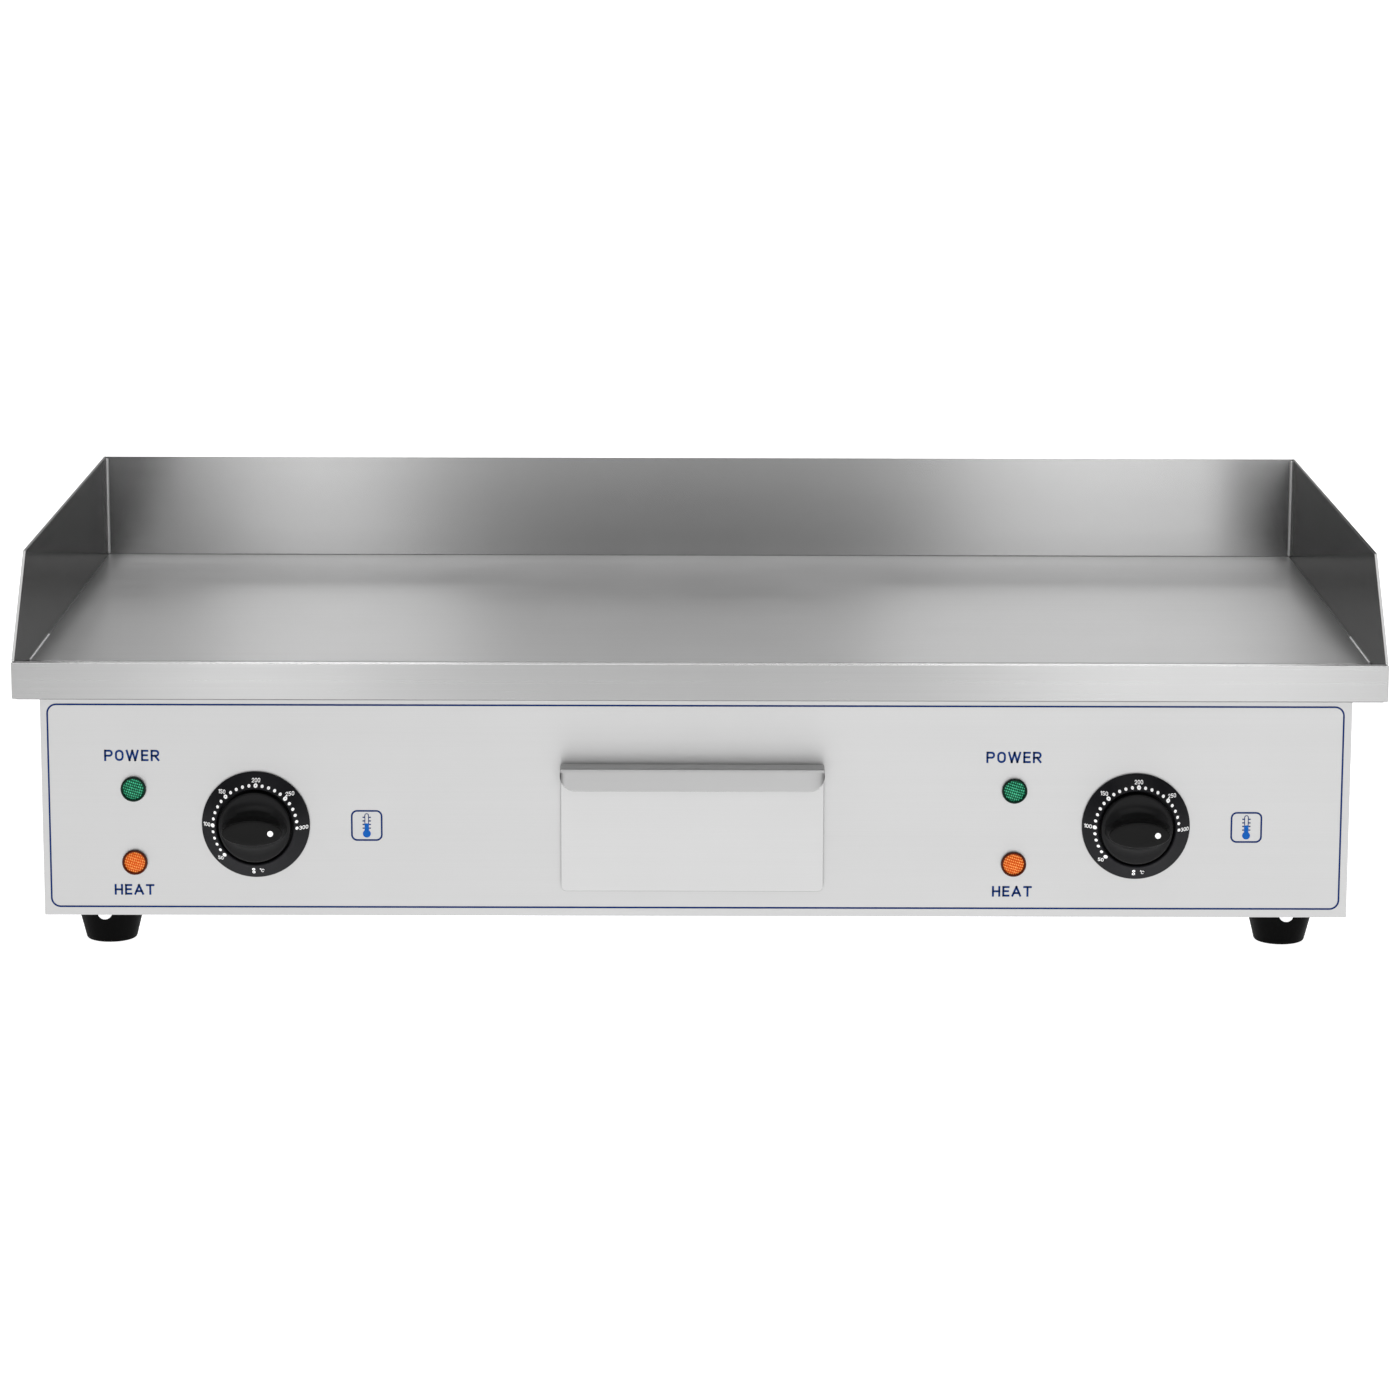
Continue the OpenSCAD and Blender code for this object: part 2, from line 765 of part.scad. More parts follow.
// Open-topped box that catches the grease from the spout
module drawer_tray() {
    x0 = drain_x - box_w / 2;
    x1 = drain_x + box_w / 2;
    y0 = drawer_face + drawer_t;
    color("#b3b3b1") difference() {
        slab([x0, y0, box_z], [x1, y0 + tray_l, box_z + box_h]);
        slab([x0 + box_t, y0 + box_t, box_z + box_t],
             [x1 - box_t, y0 + tray_l - box_t, box_z + box_h + over]);
    }
}

// Front plate whose top edge folds forward and down into a pull
module drawer_front() {
    x0 = drain_x - drawer_w / 2;
    x1 = drain_x + drawer_w / 2;
    top = drawer_z + drawer_h;
    color("#dcdcda") {
        upright(drawer_face, drawer_t) low_rounded(x0, x1, drawer_z, top, drawer_corner);
        slab([x0, drawer_face - pull_d, top - drawer_t], [x1, drawer_face + 0.01, top]);
        upright(drawer_face - pull_d, drawer_t)
            low_rounded(x0, x1, top - pull_h, top, pull_corner);
    }
}

// Angle on the base plate with a ledge that carries one edge of the drawer's box
module drawer_runner(side) {
    web_x = box_w / 2 + 0.5;
    y0 = panel_in + flange_d + 1;
    y1 = panel_in + tray_l + 4;
    color("#a5a5a3") translate([drain_x, 0, 0]) mirror([side > 0 ? 0 : 1, 0, 0]) {
        slab([web_x, y0, base_top], [web_x + 1.2, y1, box_z + 18]);
        slab([web_x, y0, base_top], [web_x + 13, y1, base_top + 1.2]);
        slab([web_x - 8, y0, box_z - 1.5], [web_x + 0.6, y1, box_z - 0.3]);
    }
}

// ---- Electrical supply ----

// Three-pole terminal block on the base plate
module terminal_block(side) {
    x = cx + side * gland_x;
    color("#ece9df") difference() {
        slab([x - 27, block_y - 12, base_top], [x + 27, block_y + 12, base_top + 24]);
        for (dx = [-17, 0, 17]) {
            rod_y(x + dx, base_top + 9, 3.2, block_y - 13, block_y + 13);
            rod_z(x + dx, block_y, 2.8, base_top + 14, base_top + 25);
        }
    }
}

// Cord gland through the rear panel: hexagonal head outside, threaded barrel inside
module cable_gland(side) {
    x = cx + side * gland_x;
    color("#3a3a3c") difference() {
        union() {
            rod_y(x, gland_z, gland_r, rear_in - 12, rear_y + 1);
            translate([x, rear_y, gland_z]) rotate([-90, 0, 0]) cylinder(r = 13.6, h = 7, $fn = 6);
            rod_y(x, gland_z, 11.4, rear_y + 6.9, rear_y + gland_out);
        }
        rod_y(x, gland_z, gland_bore_r, rear_in - 13, rear_y + gland_out + over);
    }
}

module gland_nuts() {
    color("#3a3a3c") for (side = [LEFT, RIGHT]) {
        translate([cx + side * gland_x, rear_in - 5, gland_z]) rotate([-90, 0, 0]) difference() {
            cylinder(r = 13.6, h = 5, $fn = 6);
            translate([0, 0, -over]) cylinder(r = gland_r + hair, h = 7);
        }
    }
}

// Leads from the terminal block to the thermostat, the element and the two lamps
module wiring(side) {
    block_x = cx + side * gland_x;
    dial = dial_at(side);
    tab = side * 12;
    behind = panel_in + thermo_d + 9.5;
    low_z = base_top + 9;
    lead_y = lead_front - lead_r;
    lamp_back = panel_in + 30.5;
    pin_end = lead_low - pin_l - 1.6;
    color(side > 0 ? "#8c4a3a" : "#38507c") {
        lead([
            [block_x, block_y - 12.5, low_z], [block_x, 60, base_top + 6],
            [dial - tab, -60, base_top + 8], [dial - tab, behind + 14, 44],
            [dial - tab, behind, dial_z - 9.6]
        ], 1.5);
        lead([
            [dial, behind, dial_z - 9.6], [dial, behind + 18, 72],
            [side * (first_run + 50), lead_y + 6, 97], [side * first_run, lead_y, pin_end]
        ], 1.5);
        lead([
            [dial + tab, behind, dial_z - 9.6], [dial + tab, behind + 14, 66],
            [side * (first_run + 3 * run_gap), lead_y, 78],
            [side * (first_run + 3 * run_gap), lead_y, pin_end]
        ], 1.5);
        for (lamp = [[power_z, 0], [heat_z, 8]]) {
            z = lamp[0];
            aside = lamp[1];
            x = lamp_at(side);
            lead([
                [x, lamp_back, z], [x + aside, lamp_back + 12, z - 12],
                [x + 12 + aside, lamp_back + 30 + aside, base_top + 10],
                [block_x - 20 + aside, 40 - aside, base_top + 14],
                [block_x - 20 + aside, block_y - 12.5, low_z]
            ], 1.1);
        }
    }
}

module earth_studs() {
    color("#c9a34a") for (side = [LEFT, RIGHT]) {
        x = cx + side * (gland_x - 60);
        rod_z(x, block_y, 2.5, base_top, base_top + 20);
        hex_nut(x, block_y, base_top + 3, 8, 4, 2.45);
    }
}

// ---- Feet and fasteners ----

module at_feet() {
    for (side = [LEFT, RIGHT], y = [panel_y + foot_inset, rear_y - foot_inset]) {
        translate([cx + side * foot_x, y, 0]) children();
    }
}

// Rubber foot: a tapering cone with a rounded tread edge, recessed for its screw
module foot(side, y) {
    section = [
        [2.7, recess_h], [recess_r, recess_h], [recess_r, 0], [foot_low_r - 1.2, 0],
        [foot_low_r - 0.35, 0.35], [foot_low_r, 1.2], [foot_top_r, foot_h - 0.8],
        [foot_top_r - 0.8, foot_h], [2.7, foot_h]
    ];
    color("#161616") translate([cx + side * foot_x, y, 0]) rotate_extrude() polygon(section);
}

module foot_screws() {
    color("#d0d0ce") at_feet() translate([0, 0, recess_h]) pan_screw(4.8, 3.2, 2.5, 18);
}

module foot_nuts() {
    color("#d0d0ce") at_feet() hex_nut(0, 0, base_top, 8, 4, 2.5 + hair);
}

// Bright domed screws that join the front panel's bottom flange to the base plate
module front_flange_screws() {
    color("#f0f0ee") for (side = [LEFT, RIGHT]) {
        translate([cx + side * flange_screw_x, flange_screw_y, body_z])
            pan_screw(4, 4.4, screw_r, 8);
    }
}

// Screws on the outside of the side and rear panels, with flat heads on the sides
module panel_screws() {
    color("#d0d0ce") for (side = [LEFT, RIGHT], z = panel_screw_z) {
        translate([cx + side * body_x, side_screw_y, z])
            rotate([0, side > 0 ? -90 : 90, 0]) pan_screw(3.6, 0.6, screw_r, 8);
        translate([cx + side * rear_screw_x, rear_y, z])
            rotate([90, 0, 0]) pan_screw(3.6, 2.2, screw_r, 8);
    }
}

griddle_plate();
side_guard(LEFT);  // left_splash_guard
side_guard(RIGHT);  // right_splash_guard
back_splash_guard();
front_trough();
drain_spout();
front_panel();
side_panel(LEFT);  // left_side_panel
side_panel(RIGHT);  // right_side_panel
rear_panel();
base_plate();
heat_shield();
insulation_blanket();
heating_element(LEFT);  // heating_element_left
heating_element(RIGHT);  // heating_element_right
element_clamps(LEFT);  // element_clamps_left
element_clamps(RIGHT);  // element_clamps_right
plate_studs();
clamp_nuts();
shield_nuts();
thermostat(LEFT);  // thermostat_left
thermostat(RIGHT);  // thermostat_right
thermostat_shaft(LEFT);  // thermostat_shaft_left
thermostat_shaft(RIGHT);  // thermostat_shaft_right
sensor_bulb(LEFT);  // sensor_bulb_left
sensor_bulb(RIGHT);  // sensor_bulb_right
thermostat_screws();
dial_bezel(LEFT);  // dial_bezel_left
dial_bezel(RIGHT);  // dial_bezel_right
knob(LEFT);  // knob_left
knob(RIGHT);  // knob_right
lamp_body(lamp_at(LEFT), power_z);  // power_lamp_body_left
lamp_body(lamp_at(RIGHT), power_z);  // power_lamp_body_right
lamp_body(lamp_at(LEFT), heat_z);  // heat_lamp_body_left
lamp_body(lamp_at(RIGHT), heat_z);  // heat_lamp_body_right
lamp_lens(lamp_at(LEFT), power_z, "#0a7a4a");  // power_lens_left
lamp_lens(lamp_at(RIGHT), power_z, "#0a7a4a");  // power_lens_right
lamp_lens(lamp_at(LEFT), heat_z, "#e07818");  // heat_lens_left
lamp_lens(lamp_at(RIGHT), heat_z, "#e07818");  // heat_lens_right
lamp_nuts();
drawer_tray();
drawer_front();
drawer_runner(LEFT);  // drawer_runner_left
drawer_runner(RIGHT);  // drawer_runner_right
terminal_block(LEFT);  // terminal_block_left
terminal_block(RIGHT);  // terminal_block_right
cable_gland(LEFT);  // cable_gland_left
cable_gland(RIGHT);  // cable_gland_right
gland_nuts();
wiring(LEFT);  // wiring_left
wiring(RIGHT);  // wiring_right
foot(LEFT, panel_y + foot_inset);  // foot_front_left
foot(RIGHT, panel_y + foot_inset);  // foot_front_right
foot(LEFT, rear_y - foot_inset);  // foot_rear_left
foot(RIGHT, rear_y - foot_inset);  // foot_rear_right
foot_screws();
foot_nuts();
front_flange_screws();
panel_screws();
earth_studs();
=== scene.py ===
"""Counter-top electric griddle: surfaces, fine detail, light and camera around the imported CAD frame.

Metres. +X is to the right of the person cooking, -Y towards them and +Z up, as in the frame.
"""

import math

import bmesh
import bpy
from mathutils import Matrix, Vector


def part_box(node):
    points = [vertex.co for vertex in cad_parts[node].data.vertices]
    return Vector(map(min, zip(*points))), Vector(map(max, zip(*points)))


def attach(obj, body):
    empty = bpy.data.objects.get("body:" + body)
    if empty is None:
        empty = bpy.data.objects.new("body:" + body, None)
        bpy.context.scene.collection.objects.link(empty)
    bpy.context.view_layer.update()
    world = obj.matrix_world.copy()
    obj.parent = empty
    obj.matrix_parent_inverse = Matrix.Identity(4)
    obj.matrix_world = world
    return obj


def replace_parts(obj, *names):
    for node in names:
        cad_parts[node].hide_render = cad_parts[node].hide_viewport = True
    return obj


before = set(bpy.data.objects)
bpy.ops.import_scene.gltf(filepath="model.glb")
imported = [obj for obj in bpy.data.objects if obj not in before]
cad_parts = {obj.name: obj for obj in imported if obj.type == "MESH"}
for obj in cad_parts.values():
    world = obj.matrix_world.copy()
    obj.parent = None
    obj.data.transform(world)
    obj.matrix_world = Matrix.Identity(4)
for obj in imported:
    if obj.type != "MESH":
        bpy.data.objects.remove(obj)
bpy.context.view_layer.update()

MM = 0.001
SIDES = ("left", "right")
HOUSING = "housing"
DRAWER = "drawer"


# ---- Places taken from the frame ----

LIP_LOW, LIP_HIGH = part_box("front_trough")
PANEL_LOW, PANEL_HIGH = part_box("front_panel")
PLATE_LOW, PLATE_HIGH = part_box("griddle_plate")
GUARD_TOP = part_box("back_splash_guard")[1].z
PANEL_FACE = PANEL_LOW.y


def centre_of(node):
    """Middle of a CAD node's box."""
    low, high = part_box(node)
    return (low + high) / 2


# ---- Camera, light and floor ----

LENS = 119.69
SENSOR = 36
PITCH = math.radians(11.277)
YAW = math.radians(-0.106)
ROLL = math.radians(0.152)
EYE = Vector((-0.0045, LIP_LOW.y - 2.4204, 0.6255))


def add_object(name, data):
    made = bpy.data.objects.new(name, data)
    bpy.context.scene.collection.objects.link(made)
    return made


def make_camera():
    data = bpy.data.cameras.new("camera")
    data.lens = LENS
    data.sensor_width = SENSOR
    camera = add_object("camera", data)
    level = Matrix.Rotation(YAW, 4, "Z") @ Matrix.Rotation(math.pi / 2 - PITCH, 4, "X")
    camera.matrix_world = Matrix.Translation(EYE) @ level @ Matrix.Rotation(ROLL, 4, "Z")
    bpy.context.scene.camera = camera


def softbox(name, place, aim, size, radiance):
    """Rectangular light of the given radiance, facing the point that it is aimed at."""
    data = bpy.data.lights.new(name, "AREA")
    data.shape = "RECTANGLE"
    data.size, data.size_y = size
    data.energy = radiance * math.pi * size[0] * size[1]
    light = add_object(name, data)
    light.location = place
    away = Vector(place) - Vector(aim)
    light.rotation_euler = away.to_track_quat("Z", "Y").to_euler()
    return light


def make_lights():
    """Two upright softboxes beside the camera and one above the object."""
    heart = (0, 0, 0.15)
    softbox("softbox_left", (-0.47, -2.75, 0.75), heart, (0.22, 1.3), 3.2)
    softbox("softbox_right", (0.54, -2.75, 0.75), heart, (0.44, 1.3), 2.8)
    softbox("softbox_top", (0, -1.3, 1.6), heart, (0.9, 0.4), 1.0)


def make_screens():
    """Lit screens behind the object, which the steel mirrors and the camera doesn't see."""
    distance = 3.2
    for name, x, z, size, radiance in (("backdrop", -0.1, 0.9, (1.8, 1.3), 1.1),
                                       ("backdrop_left", -0.48, 1.15, (0.34, 1.9), 2.6),
                                       ("backdrop_right", 0.52, 1.15, (0.56, 1.9), 2.2)):
        screen = softbox(name, (x, distance, z), (x, 0, z), size, radiance)
        screen.visible_camera = False


def make_room():
    """A soft light from overhead, in a room that is dim before and behind the object and lit beside it."""
    sun = bpy.data.lights.new("overhead", "SUN")
    sun.energy = 0.9
    sun.angle = math.radians(60)
    add_object("overhead", sun).rotation_euler = (math.radians(10), 0, 0)
    world = bpy.data.worlds.new("studio")
    bpy.context.scene.world = world
    world.use_nodes = True
    tree = world.node_tree
    direction = tree.nodes.new("ShaderNodeTexCoord")
    axes = tree.nodes.new("ShaderNodeSeparateXYZ")
    sideways = tree.nodes.new("ShaderNodeMath")
    sideways.operation = "POWER"
    sideways.inputs[1].default_value = 4  # a whole even power, so both sides are alike
    level = tree.nodes.new("ShaderNodeMapRange")
    level.inputs["To Min"].default_value = 0.08
    level.inputs["To Max"].default_value = 0.6
    glow = tree.nodes["Background"]
    glow.inputs["Color"].default_value = (1, 1, 1, 1)
    tree.links.new(direction.outputs["Generated"], axes.inputs["Vector"])
    tree.links.new(axes.outputs["X"], sideways.inputs[0])
    tree.links.new(sideways.outputs["Value"], level.inputs["Value"])
    tree.links.new(level.outputs["Result"], glow.inputs["Strength"])
    bpy.context.scene.view_settings.view_transform = "Standard"


def make_floor():
    reach = 30
    mesh = bpy.data.meshes.new("floor")
    corners = [(-reach, -reach, 0), (reach, -reach, 0), (reach, reach, 0), (-reach, reach, 0)]
    mesh.from_pydata(corners, [], [(0, 1, 2, 3)])
    floor = add_object("floor", mesh)
    paper = bpy.data.materials.new("floor_paper")
    paper.use_nodes = True
    shader = paper.node_tree.nodes["Principled BSDF"]
    shader.inputs["Base Color"].default_value = (0.8, 0.8, 0.8, 1)
    shader.inputs["Roughness"].default_value = 0.9
    shader.inputs["Specular IOR Level"].default_value = 0.1
    shader.inputs["Emission Color"].default_value = (1, 1, 1, 1)
    shader.inputs["Emission Strength"].default_value = 0.96
    mesh.materials.append(paper)


# ---- Materials ----


class Surface:
    """A Principled material with short ways to add nodes to it."""

    def __init__(self, name, colour, metallic=0.0, roughness=0.5, **sockets):
        self.material = bpy.data.materials.new(name)
        self.material.use_nodes = True
        self.tree = self.material.node_tree
        self.shader = self.tree.nodes["Principled BSDF"]
        self.colour = (*colour, 1)
        self.shader.inputs["Base Color"].default_value = self.colour
        self.shader.inputs["Metallic"].default_value = metallic
        self.shader.inputs["Roughness"].default_value = roughness
        for socket, value in sockets.items():
            self.shader.inputs[socket.replace("_", " ")].default_value = value

    def node(self, kind, inputs=None, **settings):
        made = self.tree.nodes.new("ShaderNode" + kind)
        for name, value in settings.items():
            setattr(made, name, value)
        for name, value in (inputs or {}).items():
            made.inputs[name].default_value = value
        return made

    def link(self, source, target):
        self.tree.links.new(source, target)

    def places(self, scale=(1, 1, 1), turn=(0, 0, 0)):
        """Object coordinates, scaled by axis."""
        coordinates = self.node("TexCoord")
        mapping = self.node("Mapping", {"Scale": scale, "Rotation": turn})
        self.link(coordinates.outputs["Object"], mapping.inputs["Vector"])
        return mapping.outputs["Vector"]

    def noise(self, places, scale, detail=3, roughness=0.55):
        made = self.node("TexNoise", {"Scale": scale, "Detail": detail, "Roughness": roughness})
        self.link(places, made.inputs["Vector"])
        return made.outputs["Fac"]

    def spread(self, value, low, high, start=0.3, end=0.7):
        """Maps a noise value to a range."""
        limits = {"From Min": start, "From Max": end, "To Min": low, "To Max": high}
        made = self.node("MapRange", limits)
        self.link(value, made.inputs["Value"])
        return made.outputs["Result"]

    def add(self, a, b):
        made = self.node("Math", operation="ADD")
        self.link(a, made.inputs[0])
        self.link(b, made.inputs[1])
        return made.outputs["Value"]

    def shade(self, value, dark, light):
        """Varies the base colour between two shares of itself."""
        made = self.node("Mix", data_type="RGBA")
        made.inputs[6].default_value = (*(c * dark for c in self.colour[:3]), 1)
        made.inputs[7].default_value = (*(min(1, c * light) for c in self.colour[:3]), 1)
        self.link(value, made.inputs[0])
        self.link(made.outputs[2], self.shader.inputs["Base Color"])

    def roughen(self, value, low, high):
        self.link(self.spread(value, low, high), self.shader.inputs["Roughness"])

    def bump(self, value, depth):
        made = self.node("Bump", {"Strength": 1.0, "Distance": depth})
        self.link(value, made.inputs["Height"])
        self.link(made.outputs["Normal"], self.shader.inputs["Normal"])


def brushed(name, colour, roughness, grain, anisotropy=0.93, depth=0.002 * MM, streak=0.03):
    """Sheet steel brushed along one axis: long fine scratches, with faint smears from wiping."""
    made = Surface(name, colour, 1, roughness, Anisotropic=anisotropy)
    along, across = 4, 2200
    scale = [across, across, across]
    scale["XYZ".index(grain)] = along
    scratches = made.noise(made.places(scale), 1, 4, 0.62)
    bands = made.noise(made.places([v / 9 for v in scale]), 1, 2, 0.5)
    smears = made.noise(made.places((1, 1, 1)), 11, 3, 0.6)
    made.shade(made.spread(scratches, 0, 1), 1 - streak, 1 + streak)
    mixed = made.add(made.spread(scratches, 0, 0.4), made.spread(bands, 0, 0.25))
    mixed = made.add(mixed, made.spread(smears, 0, 0.35))
    made.roughen(mixed, roughness * (1 - 2 * streak), roughness * (1 + 2.3 * streak))
    made.bump(scratches, depth)
    across_grain = [1, 1, 1]
    across_grain["XYZ".index(grain)] = 0
    tangent = made.node("CombineXYZ", dict(zip("XYZ", across_grain)))
    made.link(tangent.outputs["Vector"], made.shader.inputs["Tangent"])
    return made.material


def satin(name, colour, roughness, grain):
    """Finely ground sheet with a lacquered look, even in tone."""
    return brushed(name, colour, roughness, grain, anisotropy=0.3, depth=0.003 * MM, streak=0.015)


def galvanised(name, colour, roughness):
    """Zinc-coated sheet with soft crystal patches."""
    made = Surface(name, colour, 1, roughness)
    places = made.places()
    flakes = made.node("TexVoronoi", {"Scale": 160})
    made.link(places, flakes.inputs["Vector"])
    patches = made.spread(flakes.outputs["Distance"], 0, 1, 0, 0.8)
    made.shade(patches, 0.88, 1.06)
    made.roughen(flakes.outputs["Distance"], roughness * 0.85, roughness * 1.2)
    made.bump(made.noise(places, 900), 0.01 * MM)
    return made.material


def machined(name, colour, roughness, grit=2400, depth=0.008 * MM):
    """Turned or plated metal for small parts."""
    made = Surface(name, colour, 1, roughness)
    places = made.places()
    fine = made.noise(places, grit, 3)
    stains = made.noise(places, 120, 3)
    made.shade(made.spread(stains, 0, 1), 0.9, 1.05)
    mixed = made.add(made.spread(fine, 0, 0.6), made.spread(stains, 0, 0.4))
    made.roughen(mixed, roughness * 0.8, roughness * 1.2)
    made.bump(fine, depth)
    return made.material


def moulded(name, colour, roughness, grit=1800, depth=0.012 * MM, **sockets):
    """Moulded plastic or rubber with a fine eroded grain."""
    made = Surface(name, colour, 0, roughness, **sockets)
    places = made.places()
    fine = made.noise(places, grit, 3, 0.6)
    wear = made.noise(places, 60, 3)
    made.shade(made.spread(wear, 0, 1), 0.88, 1.12)
    mixed = made.add(made.spread(fine, 0, 0.5), made.spread(wear, 0, 0.5))
    made.roughen(mixed, roughness * 0.85, roughness * 1.15)
    made.bump(fine, depth)
    return made.material


def fibrous(name, colour):
    """Mineral wool: soft, matted fibres."""
    made = Surface(name, colour, 0, 0.95, Sheen_Weight=0.2)
    fibres = made.noise(made.places((1, 0.4, 2.5)), 420, 6, 0.7)
    made.shade(made.spread(fibres, 0, 1), 0.7, 1.1)
    made.bump(fibres, 0.6 * MM)
    return made.material


def printed(name, colour, glow=0.0):
    """Screen-printed ink, faintly uneven, with a painted glow in its own colour if given one."""
    made = Surface(name, colour, 0, 0.5, Specular_IOR_Level=0.15, Emission_Strength=glow)
    made.shader.inputs["Emission Color"].default_value = (*colour, 1)
    grain = made.noise(made.places(), 2600, 2)
    made.shade(made.spread(grain, 0, 1), 0.92, 1.08)
    made.bump(grain, 0.003 * MM)
    return made.material


WAFFLE_PITCH_X = 1.1 * MM
WAFFLE_PITCH_Z = 1.42 * MM
WAFFLE_TURN = math.radians(-17)


def lens_plastic(name, groove_shade, bright):
    """Clear coloured plastic, with painted shade in the waffle's grooves, painted highlights on its tips and
    a faint painted glow in the same colours.
    """
    made = Surface(name, groove_shade, 0, 0.25, Specular_IOR_Level=0.15, Emission_Strength=0.3)
    turned = made.places(turn=(0, WAFFLE_TURN, 0))
    axes = made.node("SeparateXYZ")
    made.link(turned, axes.inputs["Vector"])
    waves = []
    for axis, pitch in (("X", WAFFLE_PITCH_X), ("Z", WAFFLE_PITCH_Z)):
        scaled = made.node("Math", {1: 2 * math.pi / pitch}, operation="MULTIPLY")
        made.link(axes.outputs[axis], scaled.inputs[0])
        wave = made.node("Math", operation="SINE")
        made.link(scaled.outputs["Value"], wave.inputs[0])
        waves.append(made.spread(wave.outputs["Value"], 0, 0.5, -1, 1))
    blur = made.noise(turned, 700, 2)
    tips = made.spread(made.add(made.add(*waves), made.spread(blur, -0.15, 0.15)), 0, 1, 0.5, 1)
    # Painted highlight on the tips and painted shade in the grooves, also used as a painted glow
    mix = made.node("Mix", data_type="RGBA")
    mix.inputs[6].default_value = (*groove_shade, 1)
    mix.inputs[7].default_value = (*bright, 1)
    made.link(tips, mix.inputs[0])
    made.link(mix.outputs[2], made.shader.inputs["Base Color"])
    made.link(mix.outputs[2], made.shader.inputs["Emission Color"])
    made.bump(blur, 0.01 * MM)
    return made.material


RUBBER = (0.003, 0.003, 0.003)
# Each lens: colour of its painted groove shade, then of its painted tip highlight
GREEN_SHADE_AND_HIGHLIGHT = ((0.0, 0.065, 0.028), (0.08, 0.66, 0.36))
ORANGE_SHADE_AND_HIGHLIGHT = ((0.58, 0.075, 0.002), (1.0, 0.44, 0.11))

FINISH = {
    "plate_steel": brushed("plate_steel", (0.63, 0.63, 0.63), 0.33, "X", 0.98, 0.0013 * MM),
    "tray_steel": brushed("tray_steel", (0.50, 0.50, 0.50), 0.225, "X", 0.95),
    "body_steel": satin("body_steel", (0.585, 0.585, 0.585), 0.43, "X"),
    "base_steel": galvanised("base_steel", (0.58, 0.59, 0.60), 0.42),
    "drawer_steel": satin("drawer_steel", (0.61, 0.61, 0.61), 0.44, "X"),
    "shield_steel": galvanised("shield_steel", (0.66, 0.66, 0.65), 0.36),
    "mineral_wool": fibrous("mineral_wool", (0.62, 0.57, 0.44)),
    "element_sheath": machined("element_sheath", (0.16, 0.135, 0.12), 0.5),
    "plain_steel": machined("plain_steel", (0.48, 0.48, 0.48), 0.38),
    "zinc_fasteners": machined("zinc_fasteners", (0.70, 0.71, 0.72), 0.3),
    "bright_screws": machined("bright_screws", (0.92, 0.92, 0.92), 0.22, 2400, 0.004 * MM),
    "thermostat_ceramic": moulded("thermostat_ceramic", (0.62, 0.58, 0.48), 0.45),
    "copper": machined("copper", (0.72, 0.36, 0.22), 0.3),
    "bezel_black": moulded("bezel_black", (0.009, 0.009, 0.011), 0.42, Specular_IOR_Level=0.16),
    "knob_black": moulded("knob_black", (0.011, 0.011, 0.0115), 0.36, Specular_IOR_Level=0.14),
    "lamp_black": moulded("lamp_black", (0.007, 0.007, 0.008), 0.3, Specular_IOR_Level=0.16),
    "lens_green": lens_plastic("lens_green", *GREEN_SHADE_AND_HIGHLIGHT),
    "lens_orange": lens_plastic("lens_orange", *ORANGE_SHADE_AND_HIGHLIGHT),
    "terminal_plastic": moulded("terminal_plastic", (0.80, 0.77, 0.68), 0.4),
    "gland_plastic": moulded("gland_plastic", (0.03, 0.03, 0.032), 0.45),
    "wire_insulation": moulded("wire_insulation", (0.25, 0.07, 0.04), 0.4),
    "foot_rubber": moulded("foot_rubber", RUBBER, 0.5, 1400, 0.03 * MM, Specular_IOR_Level=0.03),
    "brass": machined("brass", (0.72, 0.52, 0.22), 0.3),
}
LIP_STEEL = brushed("tray_steel_lip", (0.46, 0.46, 0.46), 0.29, "X", 0.97)
# Much brighter steel that paints the highlight on the lip's top bend
HIGHLIGHT_STEEL = brushed("tray_steel_painted_highlight", (0.92, 0.92, 0.92), 0.26, "X")
# A darker copy of the knob's black that paints shade on the grip's front face and on faces that look up
KNOB_BLACK_SHADED = moulded("knob_black_grip", (0.005, 0.005, 0.005), 0.36, Specular_IOR_Level=0.13)
SIDE_GRAIN = brushed("tray_steel_sides", (0.50, 0.50, 0.50), 0.15, "Z", 0.6, 0.0004 * MM, 0.012)
# The guards' steel reflects less at a glancing angle than plain metal does
SIDE_GRAIN.node_tree.nodes["Principled BSDF"].inputs["Specular Tint"].default_value = (0.28, 0.28, 0.28, 1)
# Darker, rougher steel that paints shade on undersides, cut ends and seam grooves
PAINTED_SHADE_STEEL = machined("dull_underside", (0.22, 0.22, 0.22), 0.6)
SIDE_SATIN = satin("body_steel_sides", (0.57, 0.57, 0.57), 0.46, "Y")
WELD = machined("weld_steel", (0.95, 0.95, 0.95), 0.45, 1500, 0.02 * MM)
LABEL_INK = printed("label_ink", (0.002, 0.035, 0.19))
NAVY_INK = printed("navy_ink", (0.003, 0.026, 0.15))
BLUE_INK = printed("blue_ink", (0.002, 0.12, 0.52))
# The white ink glows: painted light that keeps the dial's marks and pointer dot bright
GLOWING_WHITE_INK = printed("white_ink_glowing", (0.92, 0.92, 0.92), 0.3)
RIM = {
    "power": moulded("lamp_rim_green", (0.0, 0.020, 0.010), 0.25, Specular_IOR_Level=0.15),
    "heat": moulded("lamp_rim_orange", (0.09, 0.012, 0.001), 0.25, Specular_IOR_Level=0.15),
}


def finish_cad_nodes():
    """Gives every CAD node the finish of its slot."""
    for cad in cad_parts.values():
        for place in cad.material_slots:
            slot = place.material.name.split(".")[0] if place.material else None
            if slot in FINISH:
                place.material = FINISH[slot]


# ---- Mesh helpers ----

SMOOTH = math.radians(40)
WELD_GAP = 0.001 * MM  # points closer than this are joined


